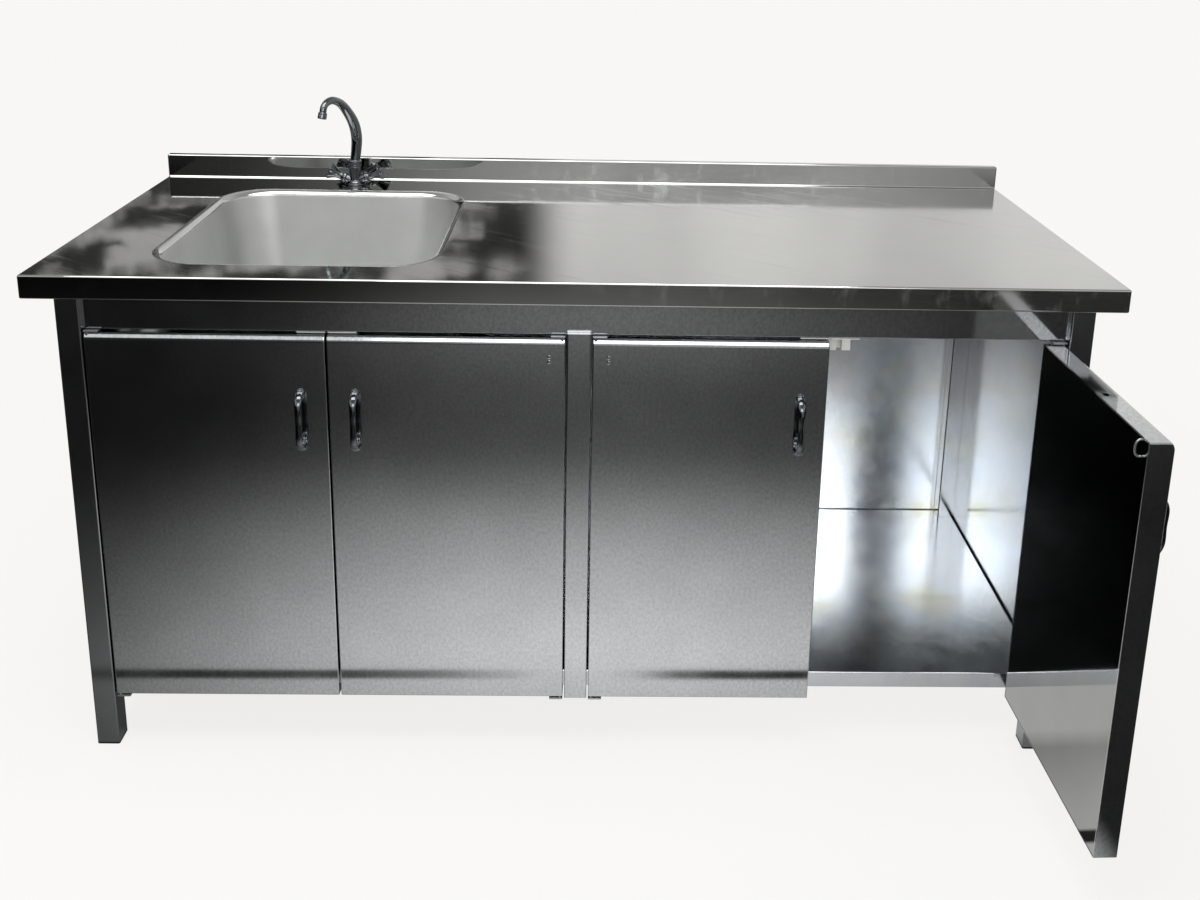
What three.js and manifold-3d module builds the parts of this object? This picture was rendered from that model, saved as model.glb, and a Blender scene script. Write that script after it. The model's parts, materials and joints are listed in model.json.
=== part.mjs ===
// A free-standing stainless steel sink unit: a folded worktop with a pressed bowl on its left,
// a two-handle mixer tap, a tube frame with sheet panels, and four hinged tray doors.
// Millimetres, +Z up. The front faces -Y. Doors 1 to 3 are shut and door 4 stands open.

import * as THREE from 'three';
import { mergeVertices } from 'three/addons/utils/BufferGeometryUtils.js';
import Module from 'manifold-3d';

const wasm = await Module();
wasm.setup();

// Driving dimensions ---------------------------------------------------------------------

// worktop
const LENGTH = 1800;
const DEPTH = 750;
const HEIGHT = 900;
const SHEET = 1.5;
const LIP = 40;
const LIP_RETURN = 14;
const UPSTAND_HEIGHT = 48;
const UPSTAND_DEPTH = 18;
const BEND = 3;

// frame
const LEG = 40;
const TUBE_WALL = 1.5;
const LEG_OUTER_X = 864;
const LEG_FRONT_Y = -333;
const LEG_BACK_Y = 345;
const FOOT_PAD = 4;
const FOOT_PLUG = 25;
const PANEL_BOTTOM = 101.5;
const PANEL_TOP = 858;
const PANEL_INSET = 3;
const SHELF_TOP = 133;
const APRON_BOTTOM = 792;
const APRON_SETBACK = 11;
const APRON_RETURN = 12;
const MULLION_TOP = 797;
const FLANGE = 18;

// doors
const DOOR_BOTTOM = 104;
const DOOR_TOP = 788;
const DOOR_THICK = 37;
const DOOR_GAP = 3;
const PIVOT_INSET = 5;
const PIN_RADIUS = 2.5;
const PIN_HOLE = 3;
const MULLION_HALF = 20;
const PAIR_CENTRE = 422;
const LINER_GAP = 0.3;
const LINER_EDGE = 9;
const DRAIN_HOLE = 6;
const DRAIN_HOLE_FROM_HINGE = 223;
const DRAIN_HOLE_FROM_REAR = 11;
const DOOR_4_OPEN = THREE.MathUtils.degToRad(91.5);

// door handles and catches
const HANDLE_CENTRE_Z = 638;
const HANDLE_FROM_FREE_EDGE = 44;
const HANDLE_LENGTH = 110;
const HANDLE_REACH = 26;
const HANDLE_FOOT_RADIUS = 8;
const STRIKE_HEIGHT = 28;
const STRIKE_REACH = 12;
const STRIKE_WIRE_RADIUS = 1.6;
const STRIKE_FROM_FREE_EDGE = 20;
const CATCH_Z = 772;
const CATCH_LOW = 760;
const CATCH_HALF = 19.5;
const CATCH_EAR = 9;
const CATCH_DEPTH = 13;
const CATCH_MOUTH = 9;
const CATCH_PLATE = 2;
const PIVOT_PLATE_LENGTH = 24;
const PIVOT_PLATE = 3;
const TOP_PIVOT_PLATE = 2.2;
const PIN_REACH = 12;

// bowl
const BOWL_X = -488;
const BOWL_Y = -25;
const BOWL_HALF_X = 248;
const BOWL_HALF_Y = 275;
const BOWL_CORNER = 92;
const BOWL_DEPTH = 240;
const BOWL_TAPER = 42;
const BOWL_FLOOR_RADIUS = 55;
const BOWL_RIM_GAP = 0.3;
const BOWL_FLANGE = 6;
const WASTE_HOLE = 44;

// stiffeners under the worktop's drainer side and under the shelf
const WORKTOP_CHANNEL_HALF = 40;
const WORKTOP_CHANNEL_BRIM = 16;
const WORKTOP_CHANNEL_DROP = 28;
const WORKTOP_CHANNEL_LEFT = -180;
const SHELF_CHANNEL_HALF = 30;
const SHELF_CHANNEL_DROP = 26;

// waste and trap
const TRAP_RADIUS = 32;
const TRAP_HEIGHT = 115;
const PIPE_RADIUS = 20;
const PIPE_WALL = 2;
const TAIL_LENGTH = 70;
const TRAP_OUTLET_END_Y = 300;

// tap
const TAP_X = BOWL_X;
const TAP_Y = 308;
const TAP_BASE_RADIUS = 21;
const TAP_COLUMN_RADIUS = 12.5;
const TAP_COLUMN_TOP = 40;
const TAP_SHANK_RADIUS = 15;
const TAP_SHANK_LENGTH = 48;
const TAP_HOLE = 16.5;
const ARM_TILT = THREE.MathUtils.degToRad(24);
const ARM_ROOT_Z = 5;
const ARM_RADIUS = 9.5;
const ARM_LENGTH = 22;
const KNOB_LENGTH = 37;
const KNOB_RADIUS = 17;
const KNOB_COLLAR_RADIUS = 11.5;
const KNOB_NECK_RADIUS = 8;
const KNOB_LOBES = 6;
const KNOB_LOBE_SWELL = 0.11;
const SPOUT_REACH = 109;
const SPOUT_RISE = 142;
const SPOUT_TURN = THREE.MathUtils.degToRad(22);
const SPOUT_NUT_RADIUS = 14;
const SPOUT_NUT_HEIGHT = 14;
const SPOUT_RADIUS = 10;
const SPOUT_BELLY = 1.6;
const SPOUT_TIP_RADIUS = 7;
const AERATOR_RADIUS = 9;
const AERATOR_LENGTH = 14;
const INLET_SPREAD = 7;
const INLET_NUT_RADIUS = 6.5;
const INLET_NUT_LENGTH = 14;
const INLET_TAIL_RADIUS = 5;
const INLET_TAIL_LENGTH = 60;

const RUN_GAP = 0.3;

// The frame stands on its four feet. The open door reaches furthest forward, so the middle of the
// whole object's plan lies in front of the middle of the worktop by this much.
const OPEN_DOOR_FRONT_Y = frontOfOpenDoor();
const PLAN_CENTRE_Y = (OPEN_DOOR_FRONT_Y + DEPTH / 2) / 2;

// Materials ------------------------------------------------------------------------------

function steel(name, color, roughness) {
  return new THREE.MeshStandardMaterial({ name, color, roughness, metalness: 1 });
}

const MIRROR_STEEL = steel('mirror_steel', 0x9a9c9e, 0.14);
const SATIN_STEEL = steel('satin_steel', 0x8f9194, 0.34);
const BOWL_STEEL = steel('bowl_steel', 0xb9bbbc, 0.42);
const TUBE_STEEL = steel('tube_steel', 0x707274, 0.2);
const CHROME = steel('chrome', 0xd6d9dc, 0.06);
const ZINC = steel('zinc_plate', 0xa8abad, 0.45);
const PLASTIC = new THREE.MeshStandardMaterial({
  name: 'black_plastic', color: 0x1c1d1e, roughness: 0.5, metalness: 0,
});
const WHITE_PLASTIC = new THREE.MeshStandardMaterial({
  name: 'white_plastic', color: 0xe6e6e2, roughness: 0.45, metalness: 0,
});

// Solid helpers --------------------------------------------------------------------------

function toSolid(geometry) {
  const bare = geometry.clone();
  bare.deleteAttribute('normal');
  bare.deleteAttribute('uv');
  const merged = mergeVertices(bare, 1e-4);
  return new wasm.Manifold(new wasm.Mesh({
    numProp: 3,
    vertProperties: Float32Array.from(merged.attributes.position.array),
    triVerts: Uint32Array.from(merged.index.array),
  }));
}

function fromSolid(solid) {
  const mesh = solid.getMesh();
  const geometry = new THREE.BufferGeometry();
  geometry.setAttribute('position', new THREE.BufferAttribute(mesh.vertProperties, 3));
  geometry.setIndex(new THREE.BufferAttribute(mesh.triVerts, 1));
  geometry.computeVertexNormals();
  return geometry;
}

function join(...geometries) {
  const solids = geometries.map(toSolid);
  return fromSolid(solids.slice(1).reduce((sum, next) => sum.add(next), solids[0]));
}

function cut(geometry, ...tools) {
  return fromSolid(tools.reduce((rest, tool) => rest.subtract(toSolid(tool)), toSolid(geometry)));
}

// A box between two opposite corners, given in either order along each axis.
function slab(xa, xb, ya, yb, za, zb) {
  const geometry = new THREE.BoxGeometry(Math.abs(xb - xa), Math.abs(yb - ya), Math.abs(zb - za));
  return geometry.translate((xa + xb) / 2, (ya + yb) / 2, (za + zb) / 2);
}

// A round bar along Z.
function bar(x, y, za, zb, radius, sides = 24) {
  const geometry = new THREE.CylinderGeometry(radius, radius, zb - za, sides);
  return geometry.rotateX(Math.PI / 2).translate(x, y, (za + zb) / 2);
}

// A turned piece about Z, from [radius, z] points that start and end on the axis or close up.
function turned(points, sides = 32) {
  const profile = points.map(([radius, z]) => new THREE.Vector2(radius, z));
  return new THREE.LatheGeometry(profile, sides).rotateX(Math.PI / 2);
}

// A sheet section drawn in the Y-Z plane and run along X.
function runAlongX(points, xa, xb) {
  const section = new THREE.Shape(points.map(([y, z]) => new THREE.Vector2(y, z)));
  const geometry = new THREE.ExtrudeGeometry(section, { depth: xb - xa, bevelEnabled: false });
  return geometry.rotateX(Math.PI / 2).rotateZ(Math.PI / 2).translate(xa, 0, 0);
}

// A solid skinned over rings of equal point count, closed by a flat fan at each end.
function loft(rings) {
  const count = rings[0].length;
  const positions = rings.flat().flatMap((point) => [point.x, point.y, point.z]);
  const indices = [];
  for (let ring = 0; ring < rings.length - 1; ring += 1) {
    for (let side = 0; side < count; side += 1) {
      const a = ring * count + side;
      const b = ring * count + ((side + 1) % count);
      indices.push(a, b, b + count, a, b + count, a + count);
    }
  }
  const last = (rings.length - 1) * count;
  for (let side = 1; side < count - 1; side += 1) {
    indices.push(0, side + 1, side);
    indices.push(last, last + side, last + side + 1);
  }
  const geometry = new THREE.BufferGeometry();
  geometry.setAttribute('position', new THREE.Float32BufferAttribute(positions, 3));
  geometry.setIndex(indices);
  geometry.computeVertexNormals();
  return geometry;
}

// A level ring with straight sides and round corners, counter-clockwise from above.
function roundedRing(halfX, halfY, corner, z, steps = 7) {
  const ring = [];
  const quarters = [[1, 1], [-1, 1], [-1, -1], [1, -1]];
  quarters.forEach(([sx, sy], quarter) => {
    for (let step = 0; step <= steps; step += 1) {
      const angle = (quarter + step / steps) * Math.PI / 2;
      const x = sx * (halfX - corner) + corner * Math.cos(angle);
      const y = sy * (halfY - corner) + corner * Math.sin(angle);
      ring.push(new THREE.Vector3(x, y, z));
    }
  });
  return ring;
}

// A bar along a curve that lies in the plane square to `flat`, with a radius that may change.
// `squash` scales the section across the plane.
function sweptBar(curve, radiusAt, flat, steps, sides, squash = 1) {
  const rings = [];
  for (let step = 0; step <= steps; step += 1) {
    const t = step / steps;
    const centre = curve.getPoint(t);
    const across = new THREE.Vector3().crossVectors(curve.getTangent(t), flat).normalize();
    const ring = [];
    for (let side = 0; side < sides; side += 1) {
      const angle = side / sides * Math.PI * 2;
      const point = centre.clone().addScaledVector(across, radiusAt(t) * Math.cos(angle));
      ring.push(point.addScaledVector(flat, radiusAt(t) * squash * -Math.sin(angle)));
    }
    rings.push(ring);
  }
  return loft(rings);
}

const unit = new THREE.Group();
unit.name = 'kitchen_sink_unit';
unit.position.set(0, -PLAN_CENTRE_Y, 0);

function place(name, geometry, material, parent = unit) {
  const mesh = new THREE.Mesh(geometry, material);
  mesh.name = name;
  parent.add(mesh);
  return mesh;
}

// How far forward the open door's free edge reaches, in the worktop's frame.
function frontOfOpenDoor() {
  const pivotY = LEG_FRONT_Y + PIVOT_INSET;
  const reach = LEG_OUTER_X - LEG - DOOR_GAP - PIVOT_INSET - PAIR_CENTRE - DOOR_GAP / 2;
  return pivotY - reach * Math.sin(DOOR_4_OPEN) + (DOOR_THICK - PIVOT_INSET) * Math.cos(DOOR_4_OPEN);
}

// Worktop --------------------------------------------------------------------------------

// Quarter bend between two sheet faces, as points from one angle to another.
function bend(y, z, radius, from, to, steps = 3) {
  const points = [];
  for (let step = 0; step <= steps; step += 1) {
    const angle = THREE.MathUtils.degToRad(from + (to - from) * step / steps);
    points.push([y + radius * Math.cos(angle), z + radius * Math.sin(angle)]);
  }
  return points;
}

function worktop() {
  const front = -DEPTH / 2;
  const back = DEPTH / 2;
  const rise = back - UPSTAND_DEPTH;
  const top = HEIGHT + UPSTAND_HEIGHT;
  const low = HEIGHT - LIP;
  const inner = BEND - SHEET;
  const section = [
    [front + LIP_RETURN, low],
    [front + LIP_RETURN, low + SHEET],
    [front + SHEET, low + SHEET],
    ...bend(front + BEND, HEIGHT - BEND, inner, 180, 90),
    [rise + SHEET, HEIGHT - SHEET],
    ...bend(rise + BEND, top - BEND, inner, 180, 90),
    [back - SHEET, top - SHEET],
    [back - SHEET, low],
    [back, low],
    ...bend(back - BEND, top - BEND, BEND, 0, 90),
    ...bend(rise + BEND, top - BEND, BEND, 90, 180),
    [rise, HEIGHT],
    ...bend(front + BEND, HEIGHT - BEND, BEND, 90, 180),
    [front, low],
  ];
  const sheet = runAlongX(section, -LENGTH / 2, LENGTH / 2);
  const ends = [-1, 1].flatMap((side) => {
    const outer = side * LENGTH / 2;
    const inside = outer - side * SHEET;
    return [
      slab(outer, inside, front + SHEET / 2, back - SHEET / 2, low, HEIGHT - SHEET / 2),
      slab(outer, inside, rise + SHEET / 2, back - SHEET / 2, low, top - SHEET / 2),
      slab(outer, outer - side * LIP_RETURN, front + SHEET / 2, back - SHEET / 2, low, low + SHEET),
    ];
  });
  const hole = loft([HEIGHT - LIP, HEIGHT + LIP].map(
    (z) => roundedRing(BOWL_HALF_X, BOWL_HALF_Y, BOWL_CORNER, z),
  )).translate(BOWL_X, BOWL_Y, 0);
  const tapHole = bar(TAP_X, TAP_Y, HEIGHT - LIP, HEIGHT + LIP, TAP_HOLE, 22);
  return cut(join(sheet, ...ends), hole, tapHole);
}

function stiffener() {
  // a hat channel under the drainer side, open upwards, with its two brims against the sheet
  const under = HEIGHT - SHEET;
  const half = WORKTOP_CHANNEL_HALF;
  const brim = WORKTOP_CHANNEL_BRIM;
  const drop = WORKTOP_CHANNEL_DROP;
  const section = [
    [-half - brim, 0], [-half - brim, -SHEET], [-half, -SHEET], [-half, -drop],
    [half, -drop], [half, -SHEET], [half + brim, -SHEET], [half + brim, 0],
    [half - SHEET, 0], [half - SHEET, SHEET - drop], [SHEET - half, SHEET - drop], [SHEET - half, 0],
  ].reverse();
  const right = LEG_OUTER_X - LEG - 10;
  return runAlongX(section, WORKTOP_CHANNEL_LEFT, right).translate(0, 0, under);
}

place('worktop', worktop(), MIRROR_STEEL);
place('worktop_stiffener', stiffener(), SATIN_STEEL);

// Bowl and waste -------------------------------------------------------------------------

const BOWL_FLOOR = HEIGHT - BOWL_DEPTH;

// Rings of the bowl's surface, from the floor up to the rim, set in by `inset` all round.
function bowlRings(inset, floor, rim) {
  const halfX = BOWL_HALF_X - BOWL_RIM_GAP - inset;
  const halfY = BOWL_HALF_Y - BOWL_RIM_GAP - inset;
  const radius = BOWL_FLOOR_RADIUS - inset;
  const rings = [];
  const turns = 5;
  for (let turn = 0; turn <= turns; turn += 1) {
    const angle = turn / turns * Math.PI / 2;
    const shrink = BOWL_TAPER + radius * (1 - Math.sin(angle));
    const z = floor + radius * (1 - Math.cos(angle));
    const corner = Math.max(BOWL_CORNER - inset - shrink * 0.6, 20);
    rings.push(roundedRing(halfX - shrink, halfY - shrink, corner, z));
  }
  rings.push(roundedRing(halfX, halfY, BOWL_CORNER - inset, rim));
  return rings;
}

function bowl() {
  const outer = loft(bowlRings(0, BOWL_FLOOR - SHEET, HEIGHT));
  const inner = loft(bowlRings(SHEET, BOWL_FLOOR, HEIGHT + SHEET));
  const flangeTop = HEIGHT - SHEET - RUN_GAP;
  const flange = loft([flangeTop - SHEET, flangeTop].map((z) => roundedRing(
    BOWL_HALF_X + BOWL_FLANGE, BOWL_HALF_Y + BOWL_FLANGE, BOWL_CORNER + BOWL_FLANGE, z,
  )));
  const hole = bar(0, 0, BOWL_FLOOR - LIP, BOWL_FLOOR + LIP, WASTE_HOLE, 32);
  return cut(join(outer, flange), inner, hole).translate(BOWL_X, BOWL_Y, 0);
}

const WASTE_THROAT = WASTE_HOLE - 4;
const WASTE_STEM = WASTE_THROAT - 12;

// A dished flange that drops through the bowl's hole, with a pierced grid across its throat.
function wasteFlange() {
  const seat = RUN_GAP;
  const throat = WASTE_THROAT;
  const dish = turned([
    [0, -14], [throat - 3, -14], [throat, -11], [throat, seat],
    [WASTE_HOLE + 12, seat], [WASTE_HOLE + 12, seat + 1], [WASTE_HOLE + 9, seat + 1.8], [throat - 1, 0],
    [throat - 4, -10], [throat - 6, -12], [0, -12],
  ], 24);
  const pierced = [bar(0, 0, -20, 0, 5, 8)];
  const holes = 8;
  const spread = 20;
  for (let index = 0; index < holes; index += 1) {
    const angle = index / holes * Math.PI * 2;
    pierced.push(bar(spread * Math.cos(angle), spread * Math.sin(angle), -20, 0, 5.5, 8));
  }
  const stem = cut(bar(0, 0, -40, -13, WASTE_STEM, 24), bar(0, 0, -50, -13.5, WASTE_STEM - 2, 24));
  return join(cut(dish, ...pierced), stem);
}

function ring(inner, outer, za, zb, sides = 24) {
  return cut(bar(0, 0, za, zb, outer, sides), bar(0, 0, za - 1, zb + 1, inner, sides));
}

const TRAP_TOP = BOWL_FLOOR - TAIL_LENGTH - 30;
const TRAP_OUTLET_Z = TRAP_TOP - 24;

function trapInlet() {
  // a union cup that takes the waste's stem, and the tail that dips into the bottle
  const cup = turned([
    [0, TRAP_TOP - 2], [PIPE_RADIUS, TRAP_TOP - 2], [PIPE_RADIUS, BOWL_FLOOR - 62],
    [WASTE_STEM + 6, BOWL_FLOOR - 56], [WASTE_STEM + 6, BOWL_FLOOR - 30],
    [WASTE_STEM + 1, BOWL_FLOOR - 30], [WASTE_STEM + 1, BOWL_FLOOR - 52],
    [PIPE_RADIUS - PIPE_WALL, BOWL_FLOOR - 58], [PIPE_RADIUS - PIPE_WALL, TRAP_TOP - 1],
    [0, TRAP_TOP - 1],
  ], 22);
  return cut(cup, bar(0, 0, TRAP_TOP - 9, TRAP_TOP + 1, PIPE_RADIUS - PIPE_WALL, 22));
}

function trapBottle() {
  const bottom = TRAP_TOP - TRAP_HEIGHT;
  const shell = turned([
    [0, bottom], [TRAP_RADIUS - 8, bottom], [TRAP_RADIUS - 2, bottom + 6],
    [TRAP_RADIUS - 2, TRAP_TOP - 45], [TRAP_RADIUS, TRAP_TOP - 42],
    [TRAP_RADIUS, TRAP_TOP - 2 - RUN_GAP], [0, TRAP_TOP - 2 - RUN_GAP],
  ], 22);
  const hollow = bar(0, 0, bottom + 4, TRAP_TOP - 6, TRAP_RADIUS - 6, 22);
  const mouth = bar(0, 0, TRAP_TOP - 10, TRAP_TOP, PIPE_RADIUS - PIPE_WALL, 22);
  const spigot = bar(0, 0, TRAP_RADIUS - 6, TRAP_RADIUS + 12, PIPE_RADIUS - 2, 22)
    .rotateX(-Math.PI / 2).translate(0, 0, TRAP_OUTLET_Z);
  const way = bar(0, 0, 0, TRAP_RADIUS + 20, PIPE_RADIUS - 5, 22)
    .rotateX(-Math.PI / 2).translate(0, 0, TRAP_OUTLET_Z);
  return cut(join(shell, spigot), hollow, mouth, way);
}

function trapOutlet() {
  const start = TRAP_RADIUS + 12 + RUN_GAP;
  const end = TRAP_OUTLET_END_Y - BOWL_Y;
  const collar = ring(PIPE_RADIUS - PIPE_WALL, PIPE_RADIUS + 6, start, start + 22, 22);
  const pipe = ring(PIPE_RADIUS - PIPE_WALL, PIPE_RADIUS, start, end, 22);
  return join(collar, pipe).rotateX(-Math.PI / 2).translate(0, 0, TRAP_OUTLET_Z);
}

place('sink_bowl', bowl(), BOWL_STEEL);
place('waste_flange', wasteFlange().translate(BOWL_X, BOWL_Y, BOWL_FLOOR), CHROME);
place(
  'waste_backnut',
  ring(WASTE_THROAT + RUN_GAP, WASTE_HOLE + 10, BOWL_FLOOR - 14, BOWL_FLOOR - SHEET - RUN_GAP)
    .translate(BOWL_X, BOWL_Y, 0),
  PLASTIC,
);
place('trap_inlet', trapInlet().translate(BOWL_X, BOWL_Y, 0), WHITE_PLASTIC);
place('trap_bottle', trapBottle().translate(BOWL_X, BOWL_Y, 0), WHITE_PLASTIC);
place('trap_outlet', trapOutlet().translate(BOWL_X, BOWL_Y, 0), WHITE_PLASTIC);

// Tap ------------------------------------------------------------------------------------

const tap = new THREE.Group();
tap.position.set(TAP_X, TAP_Y, HEIGHT);
unit.add(tap);

// Puts a piece that was built along +Z onto the left or right arm's sloping axis.
function alongArm(geometry, side) {
  return geometry.rotateY(side * (Math.PI / 2 - ARM_TILT)).translate(0, 0, ARM_ROOT_Z);
}

function tapBody() {
  const column = turned([
    [0, RUN_GAP], [TAP_BASE_RADIUS, RUN_GAP], [TAP_BASE_RADIUS, 3], [TAP_COLUMN_RADIUS + 3, 6],
    [TAP_COLUMN_RADIUS, 11], [TAP_COLUMN_RADIUS, TAP_COLUMN_TOP - 3],
    [TAP_COLUMN_RADIUS - 2, TAP_COLUMN_TOP], [0, TAP_COLUMN_TOP],
  ], 24);
  const shank = bar(0, 0, -TAP_SHANK_LENGTH, 2, TAP_SHANK_RADIUS, 24);
  const arms = [-1, 1].map((side) => alongArm(
    bar(0, 0, 0, ARM_LENGTH, ARM_RADIUS, 20), side,
  ));
  return join(column, shank, ...arms);
}

// A flared knob with soft lobes, widest at its hollow outer end, behind a round collar.
function knob() {
  const collar = 5;
  const neck = 9;
  const lip = 2;
  const dish = 5;
  const points = [
    [0, 0], [KNOB_COLLAR_RADIUS, 0], [KNOB_COLLAR_RADIUS, collar], [KNOB_NECK_RADIUS, neck],
    [KNOB_NECK_RADIUS + 1, 17], [KNOB_NECK_RADIUS + 4.5, 26],
    [KNOB_RADIUS, KNOB_LENGTH - lip], [KNOB_RADIUS - 1, KNOB_LENGTH],
    [KNOB_RADIUS - 4, KNOB_LENGTH - lip], [6, KNOB_LENGTH - dish], [0, KNOB_LENGTH - dish],
  ];
  const geometry = turned(points, 30);
  const position = geometry.attributes.position;
  for (let index = 0; index < position.count; index += 1) {
    const x = position.getX(index);
    const y = position.getY(index);
    const flare = Math.max(0, position.getZ(index) - neck) / KNOB_LENGTH;
    const lobe = 1 + KNOB_LOBE_SWELL * flare * Math.cos(KNOB_LOBES * Math.atan2(y, x));
    position.setXY(index, x * lobe, y * lobe);
  }
  return geometry;
}

// The swan neck: it leans back a little over the column, then swings over in one long bend and
// comes down at the outlet. The shape is in shares of the reach and the rise.
function spout() {
  const direction = new THREE.Vector3(-Math.sin(SPOUT_TURN), -Math.cos(SPOUT_TURN), 0);
  const side = new THREE.Vector3().crossVectors(direction, new THREE.Vector3(0, 0, 1));
  const shape = [
    [0, 0], [-0.06, 0.16], [-0.09, 0.36], [-0.02, 0.56], [0.17, 0.76],
    [0.43, 0.93], [0.7, 1], [0.88, 0.98], [0.97, 0.93], [1, 0.87],
  ];
  const foot = TAP_COLUMN_TOP + 8;
  const curve = new THREE.CatmullRomCurve3(shape.map(([out, up]) => direction.clone()
    .multiplyScalar(out * SPOUT_REACH).add(new THREE.Vector3(0, 0, foot + up * SPOUT_RISE))));
  const radiusAt = (t) => SPOUT_RADIUS
    + (SPOUT_TIP_RADIUS - SPOUT_RADIUS) * THREE.MathUtils.smoothstep(t, 0.3, 0.85)
    + SPOUT_BELLY * Math.sin(Math.PI * Math.min(1, t / 0.6));
  const neck = sweptBar(curve, radiusAt, side, 28, 16);
  const nut = turned([
    [0, TAP_COLUMN_TOP + RUN_GAP], [SPOUT_NUT_RADIUS, TAP_COLUMN_TOP + RUN_GAP],
    [SPOUT_NUT_RADIUS, foot + 2], [SPOUT_RADIUS + 1.5, TAP_COLUMN_TOP + SPOUT_NUT_HEIGHT],
    [0, TAP_COLUMN_TOP + SPOUT_NUT_HEIGHT],
  ], 24);
  const end = curve.getPoint(1);
  const down = curve.getTangent(1);
  return { geometry: join(neck, nut), end, down };
}

const neck = spout();

function aerator() {
  const wall = 1.5;
  const shell = turned([
    [0, 0], [SPOUT_TIP_RADIUS, 0], [AERATOR_RADIUS, 3], [AERATOR_RADIUS, AERATOR_LENGTH],
    [AERATOR_RADIUS - wall, AERATOR_LENGTH], [AERATOR_RADIUS - wall - 1, AERATOR_LENGTH - 2],
    [0, AERATOR_LENGTH - 2],
  ], 20);
  const turn = new THREE.Quaternion().setFromUnitVectors(new THREE.Vector3(0, 0, 1), neck.down);
  const start = neck.end.clone().addScaledVector(neck.down, RUN_GAP);
  return shell.applyQuaternion(turn).translate(start.x, start.y, start.z);
}

place('tap_body', tapBody(), CHROME, tap);
place('tap_spout', neck.geometry, CHROME, tap);
place('tap_aerator', aerator(), CHROME, tap);
[['tap_handle_left', -1], ['tap_handle_right', 1]].forEach(([name, side]) => {
  const geometry = alongArm(knob().translate(0, 0, ARM_LENGTH + RUN_GAP), side);
  place(name, geometry, CHROME, tap);
});
place(
  'tap_backnut',
  ring(TAP_SHANK_RADIUS + RUN_GAP, TAP_SHANK_RADIUS + 10, -18, -SHEET - RUN_GAP, 24),
  ZINC,
  tap,
);
[['tap_inlet_left', -1], ['tap_inlet_right', 1]].forEach(([name, side]) => {
  const top = -TAP_SHANK_LENGTH - RUN_GAP;
  const x = side * INLET_SPREAD;
  const tail = join(
    bar(x, 0, top - INLET_NUT_LENGTH, top, INLET_NUT_RADIUS, 6),
    bar(x, 0, top - INLET_TAIL_LENGTH, top - INLET_NUT_LENGTH / 2, INLET_TAIL_RADIUS, 16),
  );
  place(name, tail, CHROME, tap);
});

// Frame and panels -----------------------------------------------------------------------

const LEG_INNER_X = LEG_OUTER_X - LEG;
const FRONT_LEG_BACK = LEG_FRONT_Y + LEG;
const REAR_LEG_FRONT = LEG_BACK_Y - LEG;
const DOOR_BACK_Y = LEG_FRONT_Y + DOOR_THICK;
const STOP_Y = DOOR_BACK_Y + 1;
const UNDER_TOP = HEIGHT - SHEET;
const APRON_Y = LEG_FRONT_Y + APRON_SETBACK;

function leg(side, back) {
  const y = back ? REAR_LEG_FRONT : LEG_FRONT_Y;
  const tube = slab(side * LEG_INNER_X, side * LEG_OUTER_X, y, y + LEG, FOOT_PAD, UNDER_TOP);
  const bore = slab(
    side * (LEG_INNER_X + TUBE_WALL), side * (LEG_OUTER_X - TUBE_WALL),
    y + TUBE_WALL, y + LEG - TUBE_WALL, 0, HEIGHT,
  );
  return cut(tube, bore);
}

function foot(side, back) {
  const y = back ? REAR_LEG_FRONT : LEG_FRONT_Y;
  const tight = TUBE_WALL + RUN_GAP;
  const pad = slab(side * LEG_INNER_X, side * LEG_OUTER_X, y, y + LEG, 0, FOOT_PAD - RUN_GAP);
  const plug = slab(
    side * (LEG_INNER_X + tight), side * (LEG_OUTER_X - tight),
    y + tight, y + LEG - tight, 1, FOOT_PLUG,
  );
  return join(pad, plug);
}

[['front', false], ['rear', true]].forEach(([end, back]) => {
  [['left', -1], ['right', 1]].forEach(([hand, side]) => {
    place(`leg_${end}_${hand}`, leg(side, back), TUBE_STEEL);
    place(`foot_${end}_${hand}`, foot(side, back), PLASTIC);
  });
});

// The centre post is a channel, open to the back, that stands in the plane of the legs and laps
// its top end onto the apron.
function mullion() {
  const back = STOP_Y;
  const inside = MULLION_HALF - TUBE_WALL;
  const post = join(
    slab(-MULLION_HALF, MULLION_HALF, LEG_FRONT_Y, back, PANEL_BOTTOM, APRON_BOTTOM - RUN_GAP),
    slab(-MULLION_HALF, MULLION_HALF, LEG_FRONT_Y, APRON_Y, PANEL_BOTTOM, MULLION_TOP),
  );
  return cut(post, slab(
    -inside, inside, LEG_FRONT_Y + TUBE_WALL, back + 1, 0, APRON_BOTTOM - RUN_GAP - TUBE_WALL,
  ));
}

function apron() {
  const behind = APRON_Y + SHEET;
  const section = [
    [APRON_Y, APRON_BOTTOM], [APRON_Y + APRON_RETURN, APRON_BOTTOM],
    [APRON_Y + APRON_RETURN, APRON_BOTTOM + SHEET], [behind, APRON_BOTTOM + SHEET],
    [behind, UNDER_TOP], [APRON_Y, UNDER_TOP],
  ];
  return runAlongX(section, -LEG_INNER_X, LEG_INNER_X);
}

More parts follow.
